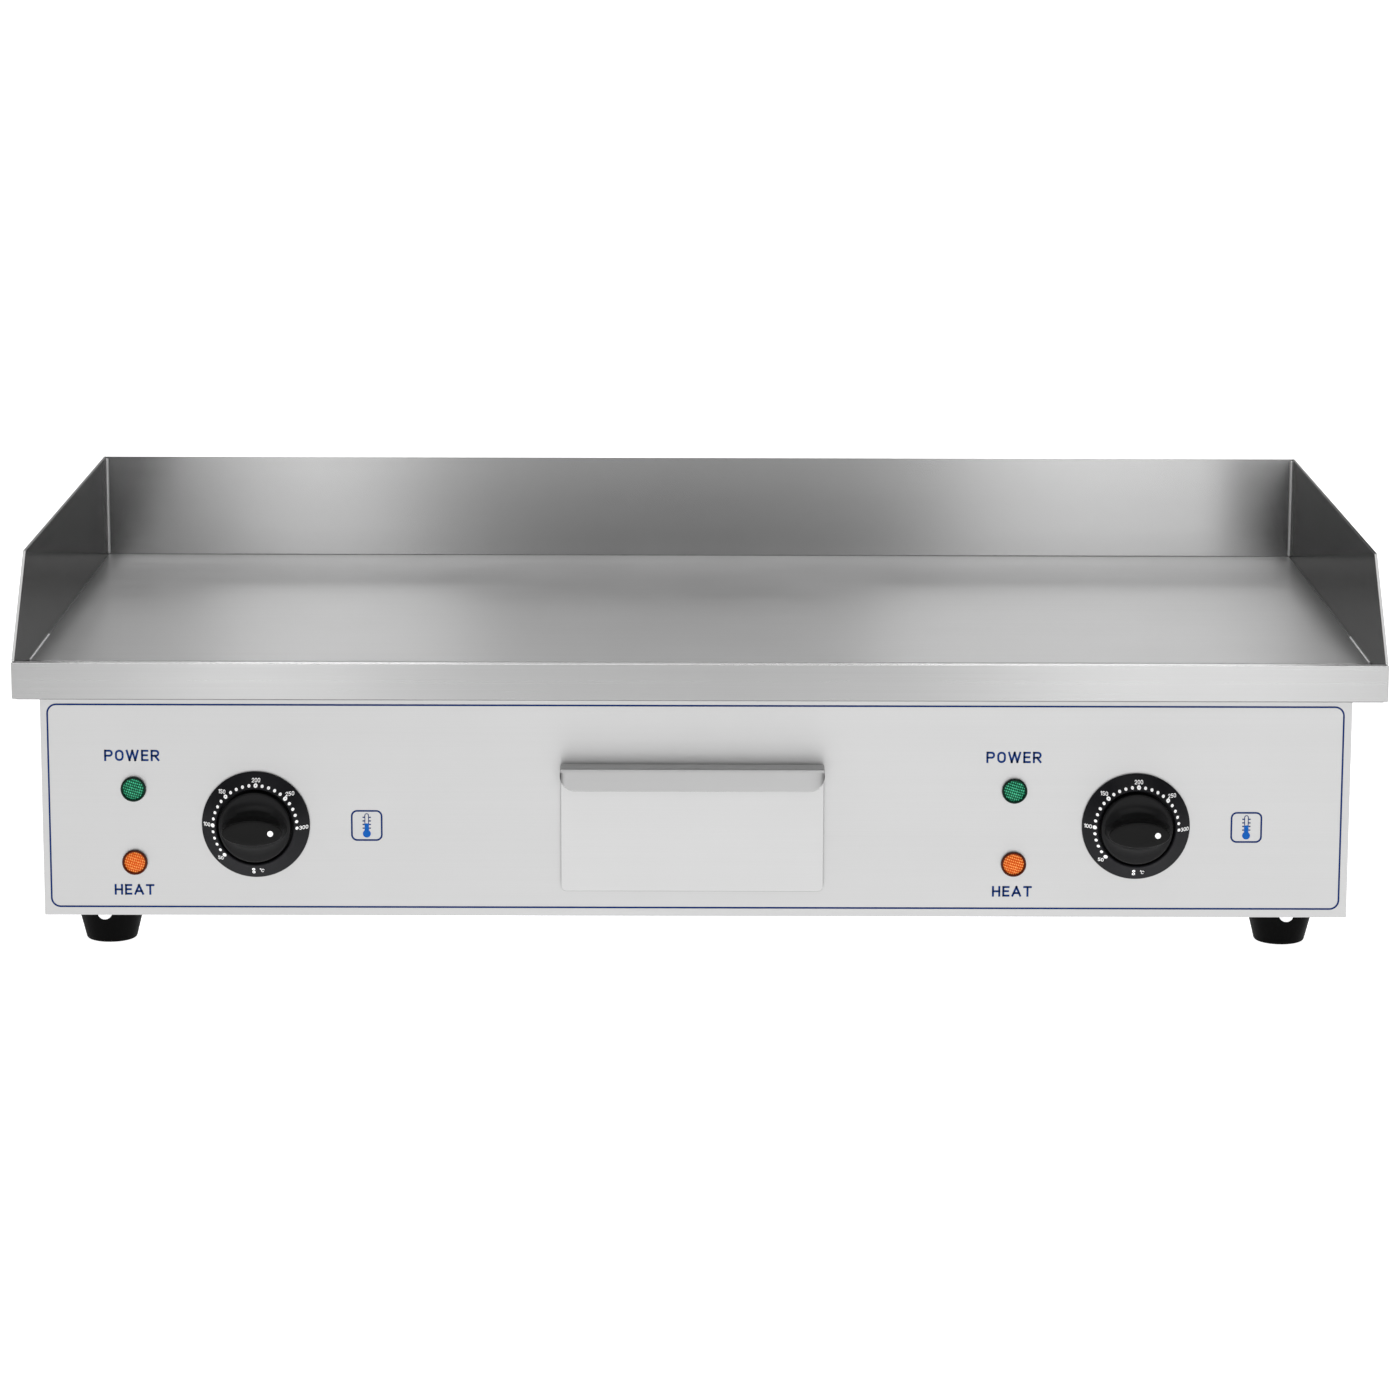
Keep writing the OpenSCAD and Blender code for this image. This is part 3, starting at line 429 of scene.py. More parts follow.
def add_piece(name, form, body, material, smooth=SMOOTH):
    """Turns a bmesh into a piece that rides on a body."""
    bmesh.ops.recalc_face_normals(form, faces=form.faces)
    mesh = bpy.data.meshes.new(name)
    form.to_mesh(mesh)
    form.free()
    mesh.materials.append(material)
    mesh.shade_smooth()
    mesh.set_sharp_from_angle(angle=smooth)
    made = add_object(name, mesh)
    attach(made, body)
    return made


def even_normals(made):
    """Keeps broad flat faces flat in shading, beside their small rounded edges."""
    modifier = made.modifiers.new("even_normals", "WEIGHTED_NORMAL")
    modifier.keep_sharp = True
    return made


def dull_underside(made, ends=False):
    """Paints shade on the faces that look down, and on the ends if asked: a darker, rougher steel standing in
    for the shadow under and beside them.
    """
    made.data.materials.append(PAINTED_SHADE_STEEL)
    for face in made.data.polygons:
        if face.normal.z < -0.35 or (ends and abs(face.normal.x) > 0.6):
            face.material_index = 1


def polished_bend(made, height):
    """Paints a highlight on the faces that look up, above a height: a brighter steel standing in for the
    light on the bend.
    """
    made.data.materials.append(HIGHLIGHT_STEEL)
    for face in made.data.polygons:
        if face.normal.z > 0.3 and face.center.z > height:
            face.material_index = len(made.data.materials) - 1


def dressed(node, edge, body, material, steps=2, crease=math.radians(35)):
    """Stands for a CAD node with a copy of it whose sharp edges are broken."""
    form = bmesh.new()
    form.from_mesh(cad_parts[node].data)
    bmesh.ops.remove_doubles(form, verts=form.verts, dist=0.002 * MM)
    bmesh.ops.dissolve_limit(form, angle_limit=math.radians(0.5), verts=form.verts, edges=form.edges)
    sharp = [e for e in form.edges if e.is_manifold and e.calc_face_angle() > crease]
    bmesh.ops.bevel(form, geom=sharp, offset=edge, segments=steps, profile=0.5, affect="EDGES",
                    clamp_overlap=True)
    made = even_normals(add_piece(node + "_finished", form, body, material))
    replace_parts(made, node)
    return made


def skin(form, rings, cap=True):
    """Adds a tube through rings of points that all have the same count, capped at its ends if asked."""
    rows = [[form.verts.new(p) for p in ring] for ring in rings]
    count = len(rows[0])
    for low, high in zip(rows, rows[1:]):
        for k in range(count):
            follow = (k + 1) % count
            form.faces.new((low[k], low[follow], high[follow], high[k]))
    if cap:
        form.faces.new(rows[0])
        form.faces.new(rows[-1])
    return rows


def close_loops(form, loops):
    """Adds a closed hoop through loops of points, the last joined to the first."""
    rows = skin(form, loops, cap=False)
    count = len(loops[0])
    for k in range(count):
        follow = (k + 1) % count
        form.faces.new((rows[-1][k], rows[-1][follow], rows[0][follow], rows[0][k]))


def circle(centre, radius, count):
    """Points of a circle in X and Z, given as pairs."""
    turn = 2 * math.pi / count
    return [
        (centre[0] + radius * math.cos(k * turn), centre[1] + radius * math.sin(k * turn))
        for k in range(count)
    ]


def upright(points, y):
    """Stands a flat outline in X and Z up at a depth."""
    return [Vector((x, y, z)) for x, z in points]


def rounded_box(x0, x1, z0, z1, radius, steps=8):
    """Outline of a rectangle with round corners."""
    left, right, low, high = x0 + radius, x1 - radius, z0 + radius, z1 - radius
    corners = ((right, high), (left, high), (left, low), (right, low))
    points = []
    for quarter, (cx, cz) in enumerate(corners):
        for step in range(steps + 1):
            angle = (quarter + step / steps) * math.pi / 2
            points.append((cx + radius * math.cos(angle), cz + radius * math.sin(angle)))
    return points


def add_prism(form, points, front, back):
    """Flat solid between two depths."""
    skin(form, [upright(points, front), upright(points, back)])


def add_ring(form, outer, inner, front, back):
    """Flat ring between an outer and an inner outline."""
    loops = [upright(outer, front), upright(outer, back), upright(inner, back), upright(inner, front)]
    close_loops(form, loops)


def bow(cx, cy, rx, ry, start, end, steps=8):
    """Points of an elliptical arc, angles in degrees."""
    turns = [math.radians(start + (end - start) * k / steps) for k in range(steps + 1)]
    return [(cx + rx * math.cos(t), cy + ry * math.sin(t)) for t in turns]


STADIUM = bow(0.33, 0.67, 0.33, 0.33, 0, 180) + bow(0.33, 0.33, 0.33, 0.33, 180, 360)
BOWL = [(0, 1), (0.36, 1)] + bow(0.42, 0.73, 0.24, 0.27, 90, -90) + [(0, 0.46)]
ZERO = bow(0.28, 0.72, 0.28, 0.28, 0, 180) + bow(0.28, 0.28, 0.28, 0.28, 180, 360)

# Each glyph is its width and its strokes, on a height of 1
GLYPHS = {
    "P": (0.66, [[(0, 0), (0, 1)], BOWL]),
    "O": (0.66, [STADIUM + STADIUM[:1]]),
    "W": (1.10, [[(0, 1), (0.27, 0)], [(0.27, 0), (0.55, 1)],
                 [(0.55, 1), (0.83, 0)], [(0.83, 0), (1.10, 1)]]),
    "E": (0.54, [[(0, 0), (0, 1)], [(0, 0), (0.54, 0)], [(0, 0.52), (0.48, 0.52)], [(0, 1), (0.54, 1)]]),
    "R": (0.66, [[(0, 0), (0, 1)], BOWL, [(0.32, 0.46), (0.66, 0)]]),
    "H": (0.66, [[(0, 0), (0, 1)], [(0.66, 0), (0.66, 1)], [(0, 0.5), (0.66, 0.5)]]),
    "A": (0.80, [[(0, 0), (0.40, 1)], [(0.40, 1), (0.80, 0)], [(0.14, 0.30), (0.66, 0.30)]]),
    "T": (0.68, [[(0.34, 0), (0.34, 1)], [(0, 1), (0.68, 1)]]),
    "C": (0.60, [bow(0.33, 0.67, 0.33, 0.33, 20, 180) + bow(0.33, 0.33, 0.33, 0.33, 180, 340)]),
    "0": (0.56, [ZERO + ZERO[:1]]),
    "1": (0.22, [[(0, 0.80), (0.22, 1)], [(0.22, 0), (0.22, 1)]]),
    "2": (0.56, [bow(0.28, 0.72, 0.28, 0.28, 180, -30) + [(0, 0)], [(0, 0), (0.56, 0)]]),
    "3": (0.56, [bow(0.27, 0.75, 0.27, 0.25, 160, -90) + bow(0.27, 0.26, 0.29, 0.26, 90, -160)]),
    "5": (0.56, [[(0.52, 1), (0.06, 1), (0.03, 0.56)] + bow(0.26, 0.31, 0.30, 0.31, 110, -150)]),
    "°": (0.30, [bow(0.15, 0.85, 0.15, 0.15, 0, 360)]),
}


def add_stroke(form, points, half, place):
    """Flat ribbon along a line of points; an open one runs on past its ends by half its width."""
    closed = points[0] == points[-1] or math.dist(points[0], points[-1]) < half * 0.01
    line = [Vector(p) for p in (points[:-1] if closed else points)]
    count = len(line)
    if not closed:
        line[0] = line[0] + (line[0] - line[1]).normalized() * half
        line[-1] = line[-1] + (line[-1] - line[-2]).normalized() * half
    rings = []
    for k, here in enumerate(line):
        ways = []
        if k or closed:
            ways.append((here - line[k - 1]).normalized())
        if k < count - 1 or closed:
            ways.append((line[(k + 1) % count] - here).normalized())
        mean = sum(ways, Vector((0, 0))).normalized()
        side = Vector((-mean.y, mean.x)) * half / max(0.6, mean.dot(ways[0]))
        left, right = here + side, here - side
        rings.append([place(left.x, -0.5, left.y), place(right.x, -0.5, right.y),
                      place(right.x, 0.5, right.y), place(left.x, 0.5, left.y)])
    if closed:
        rings.append(rings[0])
    skin(form, rings, cap=not closed)


THINNER = 0.01  # each stroke of a letter is this much thinner than the last, so that none share an edge


def add_word(form, text, height, width, weight, gap, place):
    """Writes a word centred on the origin; height and width are its outer size, gap a share of height."""
    half = weight / 2
    total = sum(GLYPHS[c][0] for c in text) + gap * (len(text) - 1)
    rise = height - weight
    run = (width - weight) / total if width else rise
    start = -(total * run) / 2
    for character in text:
        wide, strokes = GLYPHS[character]
        for order, stroke in enumerate(strokes):
            points = [(start + x * run, z * rise - rise / 2) for x, z in stroke]
            add_stroke(form, points, half * (1 - THINNER * order), place)
        start += (wide + gap) * run


# ---- Tray ----

BEAD_SIDES = 12


def add_bead(form, start, end, radius, ripple=0.05, pitch=1.6 * MM):
    """Weld bead from start to end: a fine rod with shallow ripples and rounded ends."""
    start, end = Vector(start), Vector(end)
    length = (end - start).length
    turn = (end - start).to_track_quat("Z", "Y").to_matrix()
    count = max(8, round(length / pitch * 4))
    rings = []
    for step in range(count + 1):
        along = length * step / count
        nose = min(along, length - along) / radius
        taper = math.sqrt(max(0.0, 1 - max(0.0, 1 - nose) ** 2)) if nose < 1 else 1.0
        swell = 1 + ripple * math.sin(2 * math.pi * along / pitch)
        reach = radius * max(0.12, taper) * swell
        ring = circle((0, 0), reach, BEAD_SIDES)
        rings.append([start + turn @ Vector((a, b, along)) for a, b in ring])
    skin(form, rings)


def make_tray():
    dressed("griddle_plate", 0.5 * MM, HOUSING, FINISH["plate_steel"], 3)
    dressed("back_splash_guard", 0.2 * MM, HOUSING, FINISH["tray_steel"])
    trough = dressed("front_trough", 0.6 * MM, HOUSING, LIP_STEEL, 3)
    # Painted shade on the lip's underside
    dull_underside(trough)
    # Painted highlight along the lip's top bend
    polished_bend(trough, LIP_HIGH.z - 2 * MM)
    for side in SIDES:
        dressed(side + "_splash_guard", 0.15 * MM, HOUSING, SIDE_GRAIN)


def make_welds():
    """Beads where the guards meet each other and the front of the plate, and dark strips along the seams
    behind that paint the shade of their grooves.
    """
    corner = 0.25 * MM
    groove = 0.5 * MM
    weld_end = PLATE_LOW.y + 0.22 * (PLATE_HIGH.y - PLATE_LOW.y)
    for side, sign in zip(SIDES, (-1, 1)):
        x = sign * (PLATE_HIGH.x - corner)
        y = PLATE_HIGH.y - corner
        form = bmesh.new()
        add_bead(form, (x, y, PLATE_HIGH.z + 0.2 * MM), (x, y, GUARD_TOP - 0.8 * MM), 1.15 * MM)
        add_piece(side + "_corner_weld", form, HOUSING, WELD)
        form = bmesh.new()
        z = PLATE_HIGH.z
        add_bead(form, (x, PLATE_LOW.y + 0.5 * MM, z), (x, weld_end, z), 0.7 * MM)
        add_piece(side + "_plate_weld", form, HOUSING, WELD)
        # A dark strip in the groove beside the plate: painted shade
        form = bmesh.new()
        edge = sign * PLATE_HIGH.x
        section = [(0, 0), (-sign * groove, 0), (0, groove)]
        rings = [[(edge + a, y, z + b) for a, b in section] for y in (weld_end, PLATE_HIGH.y)]
        skin(form, rings)
        add_piece(side + "_plate_seam_shade", form, HOUSING, PAINTED_SHADE_STEEL)
    # A dark strip along the back seam: painted shade for its groove
    form = bmesh.new()
    reach = PLATE_HIGH.x - 1.2 * MM
    section = [(0, 0), (0, groove), (-groove, 0)]
    rings = [[(x, PLATE_HIGH.y + y, PLATE_HIGH.z + z) for y, z in section] for x in (-reach, reach)]
    skin(form, rings)
    add_piece("back_plate_seam_shade", form, HOUSING, PAINTED_SHADE_STEEL)


# ---- Body ----


def make_body():
    # Painted shade on the front panel's downward lower edge
    dull_underside(dressed("front_panel", 0.4 * MM, HOUSING, FINISH["body_steel"]))
    dressed("rear_panel", 0.4 * MM, HOUSING, FINISH["body_steel"])
    for side in SIDES:
        dressed(side + "_side_panel", 0.4 * MM, HOUSING, SIDE_SATIN)
        for end in ("front", "rear"):
            foot = f"foot_{end}_{side}"
            dressed(foot, 1.0 * MM, HOUSING, FINISH["foot_rubber"], 4)


# ---- Printed marks on the front panel ----

INK = 0.08 * MM


def on_panel(x, depth, z):
    """A point on the panel's face, sunk or raised by the ink's thickness."""
    return Vector((x, PANEL_FACE + depth * 2 * INK, z))


def make_pinstripe():
    """Round-cornered line near the panel's edges."""
    line, corner = 0.95 * MM, 5.3 * MM
    left, right, below, above = 3.4 * MM, 3.9 * MM, 4.2 * MM, 5.3 * MM
    x0, x1 = PANEL_LOW.x + left, PANEL_HIGH.x - right
    z0, z1 = PANEL_LOW.z + below, PANEL_HIGH.z - above
    outer = rounded_box(x0, x1, z0, z1, corner)
    inner = rounded_box(x0 + line, x1 - line, z0 + line, z1 - line, corner - line)
    form = bmesh.new()
    add_ring(form, outer, inner, PANEL_FACE - INK, PANEL_FACE + INK)
    add_piece("pinstripe", form, HOUSING, NAVY_INK)


# Lamp: word, width, height and rise of its middle above the lamp's
LAMP_WORDS = {
    "power": ("POWER", 29.6 * MM, 6.2 * MM, 18.3 * MM),
    "heat": ("HEAT", 21.5 * MM, 5.9 * MM, -15.2 * MM),
}


def make_label(lamp, side):
    """The word above or below a lamp."""
    text, width, height, rise = LAMP_WORDS[lamp]
    at = centre_of(f"{lamp}_lens_{side}")
    shift, weight, gap = -0.6 * MM, 1.12 * MM, 0.42

    def place(x, depth, z):
        return on_panel(at.x + shift + x, depth, at.z + rise + z)

    form = bmesh.new()
    add_word(form, text, height, width, weight, gap, place)
    bmesh.ops.remove_doubles(form, verts=form.verts, dist=WELD_GAP)
    add_piece(f"{lamp}_label_{side}", form, HOUSING, LABEL_INK)


def make_labels():
    for side in SIDES:
        for lamp in LAMP_WORDS:
            make_label(lamp, side)


SYMBOL_SHIFT = (59.5 * MM, -0.7 * MM)
TUBE_HALF = 1.2 * MM
TICK_RISES = (-1.45 * MM, 0.55 * MM, 2.5 * MM, 4.5 * MM)
NEARLY_ROUND = 0.98


def make_thermometer_frame(x, z, side):
    """Round-cornered frame with the outline of a thermometer's tube and its ticks."""
    half, line, corner = 8.5 * MM, 0.95 * MM, 3.4 * MM
    edge, tip, floor = 0.45 * MM, 6.7 * MM, 0.2 * MM
    tick_start, tick_end, tick_half, tick_corner = TUBE_HALF - 0.1 * MM, 2.25 * MM, 0.33 * MM, 0.1 * MM
    front, back = PANEL_FACE - INK, PANEL_FACE + INK
    form = bmesh.new()
    outer = rounded_box(x - half, x + half, z - half, z + half, corner)
    inner = rounded_box(x - half + line, x + half - line, z - half + line, z + half - line, corner - line)
    add_ring(form, outer, inner, front, back)
    bore = TUBE_HALF - edge
    outer = rounded_box(x - TUBE_HALF, x + TUBE_HALF, z, z + tip, TUBE_HALF * NEARLY_ROUND)
    inner = rounded_box(x - bore, x + bore, z + floor, z + tip - edge, bore * NEARLY_ROUND)
    add_ring(form, outer, inner, front, back)
    for rise in TICK_RISES:
        for sign in (-1, 1):
            a, b = sorted((x + sign * tick_start, x + sign * tick_end))
            tick = rounded_box(a, b, z + rise - tick_half, z + rise + tick_half, tick_corner, 2)
            add_prism(form, tick, PANEL_FACE - 0.9 * INK, back)
    add_piece("thermometer_frame_" + side, form, HOUSING, NAVY_INK)


def make_mercury(x, z, side):
    """Bulb and stem of the thermometer, on slightly thicker ink than its outline."""
    bulb, bulb_z, mercury = 2.15 * MM, -4.5 * MM, 1.1 * MM
    back = PANEL_FACE + INK
    form = bmesh.new()
    add_prism(form, circle((x, z + bulb_z), bulb, 40), PANEL_FACE - 1.1 * INK, back)
    stem = rounded_box(x - TUBE_HALF, x + TUBE_HALF, z + bulb_z, z + mercury, 0.05 * MM, 2)
    add_prism(form, stem, PANEL_FACE - 1.2 * INK, back)
    add_piece("thermometer_mercury_" + side, form, HOUSING, BLUE_INK)


def make_symbols():
    """Thermometer pictogram to the right of each dial."""
    for side in SIDES:
        dial = centre_of("dial_bezel_" + side)
        x, z = dial.x + SYMBOL_SHIFT[0], dial.z + SYMBOL_SHIFT[1]
        make_thermometer_frame(x, z, side)
        make_mercury(x, z, side)


# ---- Dials ----

WELL_LIP = 21.3 * MM
CONE_FOOT = 28.4 * MM
CONE_FOOT_H = 2.0 * MM
CONE_TOP_H = 7.8 * MM
DOT_RING = 22.6 * MM
DIGIT_RING = 25.1 * MM
DIGIT_H = 2.1 * MM
DIGIT_INK = 0.12 * MM
MAJOR_DOT_R = 1.08 * MM
MINOR_DOT_R = 0.82 * MM
SCALE_TILT = math.radians(-1.8)


def cone_height(radius):
    """Height of the bezel's cone above the panel."""
    share = (CONE_FOOT - radius) / (CONE_FOOT - WELL_LIP)
    return CONE_FOOT_H + share * (CONE_TOP_H - CONE_FOOT_H)


def on_cone(dial, x, z, lift):
    """A point on the bezel's cone, given in the plane of the panel from the dial's centre."""
    radius = math.hypot(x, z)
    return Vector((dial.x + x, PANEL_FACE - cone_height(radius) - lift, dial.z + z))


def add_cone_disc(form, dial, x, z, radius, hole=0.0):
    """A printed dot, or a ring if it has a hole."""
    ink, count = 0.05 * MM, 16
    outer = circle((x, z), radius, count)
    front = [on_cone(dial, a, b, ink) for a, b in outer]
    back = [on_cone(dial, a, b, -ink) for a, b in outer]
    if not hole:
        skin(form, [front, back])
        return
    inner = circle((x, z), hole, count)
    inner_front = [on_cone(dial, a, b, ink) for a, b in inner]
    inner_back = [on_cone(dial, a, b, -ink) for a, b in inner]
    close_loops(form, [front, back, inner_back, inner_front])


def make_dial_scale(side):
    """Degrees from 50 to 300 with a dot every 10, printed on the bezel."""
    dial = centre_of("dial_bezel_" + side)
    form = bmesh.new()
    for step in range(26):
        angle = math.radians(225 - 9 * step) + SCALE_TILT
        value = 50 + 10 * step
        major = value % 50 == 0 and value < 300
        x, z = DOT_RING * math.cos(angle), DOT_RING * math.sin(angle)
        radius = MAJOR_DOT_R if major else MINOR_DOT_R
        add_cone_disc(form, dial, x, z, radius, 0.25 * MM if value in (150, 200, 250) else 0)
        if value % 50 == 0:
            reach = DIGIT_RING + 0.9 * MM * abs(math.cos(angle))
            at = (reach * math.cos(angle), reach * math.sin(angle))
            place = lambda a, depth, b: on_cone(dial, at[0] + a, at[1] + b, -depth * DIGIT_INK)
            add_word(form, str(value), DIGIT_H, None, 0.31 * MM, 0.32, place)
    add_thermostat_mark(form, dial)
    bmesh.ops.remove_doubles(form, verts=form.verts, dist=WELD_GAP)
    add_piece("dial_scale_" + side, form, HOUSING, GLOWING_WHITE_INK)


def add_thermostat_mark(form, dial):
    """Two small rings and a tilted degree sign at the bottom of the scale."""
    low = -24.4 * MM
    add_cone_disc(form, dial, -1.1 * MM, low + 0.8 * MM, 0.85 * MM, 0.3 * MM)
    add_cone_disc(form, dial, -1.1 * MM, low - 1.1 * MM, 0.85 * MM, 0.4 * MM)
    tilt = math.radians(-18)
    centre = (3.2 * MM, low + 0.1 * MM)

    def place(a, depth, b):
        x = centre[0] + a * math.cos(tilt) - b * math.sin(tilt)
        z = centre[1] + a * math.sin(tilt) + b * math.cos(tilt)
        return on_cone(dial, x, z, -depth * DIGIT_INK)

    add_word(form, "°C", DIGIT_H, None, 0.26 * MM, 0.25, place)


KNOB_SIDES = 144
KNOB_R = 19.2 * MM
GRIP_HALF = 16.75 * MM
GRIP_HALF_W = 7.0 * MM
SKIRT_H = 9.6 * MM
GRIP_H = 23.9 * MM
EDGE_R = 0.9 * MM
SCOOP = 8.5 * MM
SKIRT_EDGE_R = 1.2 * MM
BLUNT = 12  # higher makes the grip's ends flatter
POINTER_R = 9.7 * MM
DOT_FRONT_R = 1.5 * MM
DOT_R = 1.58 * MM
DOT_FRONT_H = 24 * MM


def grip_radius(angle):
    """Distance from the knob's axis to the outline of its lens-shaped grip."""
    reach = GRIP_HALF + 3 * MM
    arc = (reach**2 + GRIP_HALF_W**2) / (2 * GRIP_HALF_W)
    offset = arc - GRIP_HALF_W
    s = abs(math.sin(angle))
    side = -offset * s + math.sqrt(arc**2 - (offset * math.cos(angle)) ** 2)
    return (side**-BLUNT + GRIP_HALF**-BLUNT) ** (-1 / BLUNT)


def knob_rings():
    """Rings of (radius by angle, height) from the middle of the grip's top down to the skirt's back."""
    angles = [2 * math.pi * k / KNOB_SIDES for k in range(KNOB_SIDES)]
    grip = [grip_radius(a) for a in angles]
    rings = []
    for share in (0.04, 0.35, 0.7):
        rings.append(([(r - EDGE_R) * share for r in grip], GRIP_H - 0.12 * MM * (1 - share)))
    for step in range(5):
        turn = math.pi / 2 * step / 4
        inset = EDGE_R * (1 - math.sin(turn))
        rings.append(([r - inset for r in grip], GRIP_H - EDGE_R * (1 - math.cos(turn))))
    flat_edge = KNOB_R - 1.3 * MM
    drop = GRIP_H - EDGE_R - SKIRT_H
    for step in range(1, 15):
        turn = math.pi / 2 * step / 14
        radii = [r + min(SCOOP, flat_edge - r) * (1 - math.cos(turn)) for r in grip]
        rings.append((radii, GRIP_H - EDGE_R - drop * math.sin(turn)))
    rings.append(([flat_edge + 0.02 * MM] * KNOB_SIDES, SKIRT_H))
    for step in range(1, 6):
        turn = math.pi / 2 * step / 5
        radius = KNOB_R - SKIRT_EDGE_R * (1 - math.sin(turn))
        rings.append(([radius] * KNOB_SIDES, SKIRT_H - SKIRT_EDGE_R * (1 - math.cos(turn))))
    back, hollow, bore_end = 2.2 * MM, 5.6 * MM, 16 * MM
    chamfer, wall, boss, bore = 0.3 * MM, 1.4 * MM, 9.4 * MM, 3.05 * MM
    for radius, height in ((KNOB_R, back + chamfer), (KNOB_R - chamfer, back), (KNOB_R - wall, back),
                           (KNOB_R - wall, hollow), (boss, hollow), (boss, back),
                           (bore, back), (bore, bore_end)):
        rings.append(([radius] * KNOB_SIDES, height))
    return angles, rings


def make_knob(side):
    body = side + "_dial"
    low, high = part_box("knob_" + side)
    axis = (low + high) / 2
    angles, rings = knob_rings()
    form = bmesh.new()
    loops = [
        [
            Vector((axis.x + r * math.cos(a), PANEL_FACE - height, axis.z + r * math.sin(a)))
            for r, a in zip(radii, angles)
        ]
        for radii, height in rings
    ]
    skin(form, loops)
    knob = add_piece(f"knob_{side}_moulding", form, body, FINISH["knob_black"])
    # Painted shade: the grip's front face and the faces that look up take the darker copy of the black
    knob.data.materials.append(KNOB_BLACK_SHADED)
    for face in knob.data.polygons:
        if face.center.y < PANEL_FACE - GRIP_H + EDGE_R / 2 or face.normal.z > 0.8:
            face.material_index = 1
    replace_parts(knob, "knob_" + side)
    form = bmesh.new()
    dot = (axis.x + POINTER_R, axis.z)
    front = PANEL_FACE - DOT_FRONT_H
    outlines = ((DOT_FRONT_R, front), (DOT_R, front + 0.08 * MM), (DOT_R, front + 0.5 * MM))
    skin(form, [upright(circle(dot, radius, 32), y) for radius, y in outlines])
    add_piece(f"pointer_dot_{side}", form, body, GLOWING_WHITE_INK)


def make_dials():
    for side in SIDES:
        dressed("dial_bezel_" + side, 0.35 * MM, HOUSING, FINISH["bezel_black"], 3)
        make_dial_scale(side)
        make_knob(side)


# ---- Pilot lamps ----

LENS_RINGS = 22
LENS_SIDES = 132
RIDGE = 0.34 * MM
DOME = 0.8 * MM
LENS_EDGE = 1.45 * MM
LENS_COLLAR = 1.6 * MM


def waffle(x, z):
    """Height of the lens's pyramids, from 0 to 1."""
    c, s = math.cos(WAFFLE_TURN), math.sin(WAFFLE_TURN)
    u = (x * c + z * s) / WAFFLE_PITCH_X
    v = (z * c - x * s) / WAFFLE_PITCH_Z
    tooth_u = 1 - abs(2 * (u - math.floor(u)) - 1)
    tooth_v = 1 - abs(2 * (v - math.floor(v)) - 1)
    return min(tooth_u, tooth_v)


def make_lens(kind, side):
    """Waffled lens, slightly domed."""
    node = f"{kind}_lens_{side}"
    low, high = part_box(node)
    at = (low + high) / 2
    radius = (high.x - low.x) / 2
    slot = "lens_green" if kind == "power" else "lens_orange"
    form = bmesh.new()
    loops = []
    for ring in range(LENS_RINGS):
        share = max(0.02, ring / (LENS_RINGS - 1))
        r = share * (radius - 0.15 * MM)
        dome = DOME * (1 - share**2)
        ridge = RIDGE if share < 0.97 else 0
        loops.append([
            Vector((at.x + a, low.y + LENS_EDGE - dome + ridge * (1 - waffle(a, b)), at.z + b))
            for a, b in circle((0, 0), r, LENS_SIDES)
        ])
    loops.append(upright(circle((at.x, at.z), radius, LENS_SIDES), low.y + LENS_COLLAR))
    loops.append(upright(circle((at.x, at.z), radius, LENS_SIDES), high.y))
    skin(form, loops)
    lens = add_piece(node + "_waffle", form, HOUSING, FINISH[slot], math.radians(25))
    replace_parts(lens, node)


def make_rim(kind, side):
    """Half-round dark rim that holds the lens."""
    low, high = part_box(f"{kind}_lens_{side}")
    at = (low + high) / 2
    body_low, body_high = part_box(f"{kind}_lamp_body_{side}")
    outer = (body_high.x - body_low.x) / 2
    inner = (high.x - low.x) / 2 - 0.5 * MM
    rise, crown, foot = 1.2 * MM, 1.0 * MM, 0.9 * MM
    middle, half = (outer + inner) / 2, (outer - inner) / 2
    turns = [math.pi * step / 8 for step in range(9)]
    section = [(middle + half * math.cos(t), rise + crown * math.sin(t)) for t in turns]
    section += [(inner, foot), (outer, 0)]
    rings = [upright(circle((at.x, at.z), r, 64), PANEL_FACE - h) for r, h in section]
    rings.append(rings[0])
    form = bmesh.new()
    skin(form, rings, cap=False)
    bmesh.ops.remove_doubles(form, verts=form.verts, dist=WELD_GAP)
    add_piece(f"{kind}_rim_{side}", form, HOUSING, RIM[kind])


def make_lamps():
    for side in SIDES:
        for kind in ("power", "heat"):
            make_lens(kind, side)
            make_rim(kind, side)


# ---- Grease drawer ----

DRAWER_T = 1.2 * MM
BEND = 1.9 * MM
PULL_FLARE = 2.2 * MM
CUT_EDGE = 0.4 * MM
END_TRIM = CUT_EDGE * 0.8  # the rounding of the front's two ends
PULL_REACH = 16 * MM


def corner_lift(radius, inset):
    """How far a rounded corner draws back, at a distance from its side."""
    return radius - math.sqrt(max(0, radius**2 - max(0, radius - inset) ** 2))


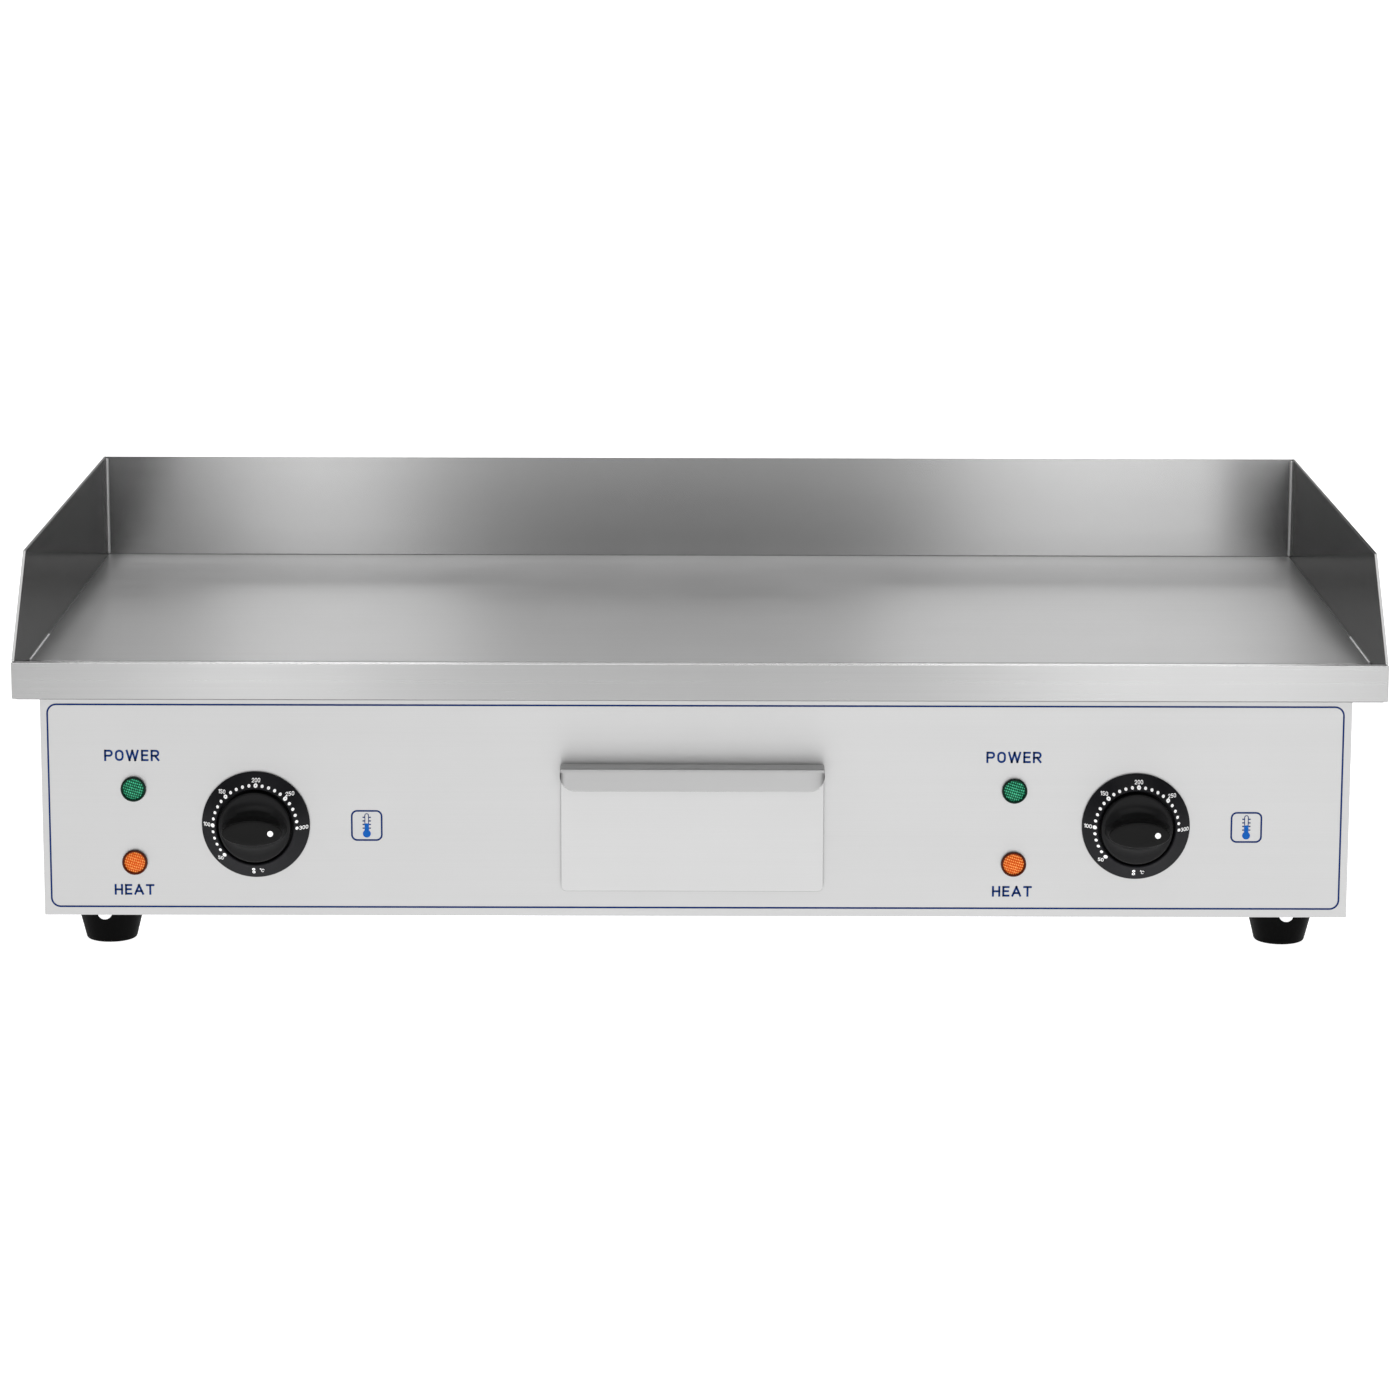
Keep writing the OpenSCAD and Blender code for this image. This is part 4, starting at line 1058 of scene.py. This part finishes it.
def drawer_section(low, high, plate_low, flange_low, trim):
    """Section of the drawer front in Y and Z: a plate whose top folds forward and down, thinned by a trim."""
    thick = DRAWER_T - 2 * trim
    back = low.y + PULL_REACH + DRAWER_T - trim
    lip = low.y + trim
    front = lip + PULL_FLARE
    top = high.z - trim
    bend = BEND - trim
    inner = bend - thick
    plate_low += trim
    flange_low += trim
    edge = CUT_EDGE - trim
    quarter = [math.pi / 2 * step / 6 for step in range(7)]
    soft = [math.pi / 2 * step / 3 for step in range(4)]
    points = [(back, plate_low), (back, top - bend)]
    points += [(back - bend + bend * math.cos(t), top - bend + bend * math.sin(t)) for t in quarter[1:]]
    points += [(front + bend - bend * math.sin(t), top - bend + bend * math.cos(t)) for t in quarter]
    points += [(lip + edge * (1 - math.cos(t)), flange_low + edge * (1 - math.sin(t))) for t in soft]
    points.append((lip + thick, flange_low))
    points += [(front + bend - inner * math.cos(t), top - bend + inner * math.sin(t)) for t in quarter]
    points += [(back - bend + inner * math.sin(t), top - bend + inner * math.cos(t)) for t in quarter]
    points += [(back - thick + edge * (1 - math.cos(t)), plate_low + edge * (1 - math.sin(t))) for t in soft]
    return points


def eased(length, steps, kept):
    """Distances along a length that crowd towards its start, as a rounded corner needs."""
    return {length * (1 - math.cos(math.pi / 2 * k / steps)) for k in kept}


def make_drawer():
    low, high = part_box("drawer_front")
    plate_r, flange_r, flange_h = 3 * MM, 8 * MM, 11.6 * MM
    reach = high.x - low.x
    stations = eased(flange_r, 12, range(3, 13)) | eased(plate_r, 8, range(2, 8))
    stations = sorted(stations | eased(END_TRIM, 4, range(5)))
    xs = stations + [reach - s for s in reversed(stations)]
    rings = []
    for x in xs:
        inset = min(x, reach - x)
        plate_low = low.z + corner_lift(plate_r, inset)
        flange_low = high.z - flange_h + corner_lift(flange_r, inset)
        section = drawer_section(low, high, plate_low, flange_low, corner_lift(END_TRIM, inset))
        rings.append([Vector((low.x + x, y, z)) for y, z in section])
    form = bmesh.new()
    skin(form, rings)
    front = add_piece("drawer_front_folded", form, DRAWER, FINISH["drawer_steel"])
    # Painted shade: a dark outline on the drawer front's lower edge and ends
    dull_underside(front, True)
    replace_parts(even_normals(front), "drawer_front")
    dressed("drawer_tray", 0.3 * MM, DRAWER, FINISH["drawer_steel"])


# ---- Scene ----

make_camera()
make_lights()
make_screens()
make_room()
make_floor()
finish_cad_nodes()
make_tray()
make_welds()
make_body()
make_pinstripe()
make_labels()
make_symbols()
make_dials()
make_lamps()
make_drawer()
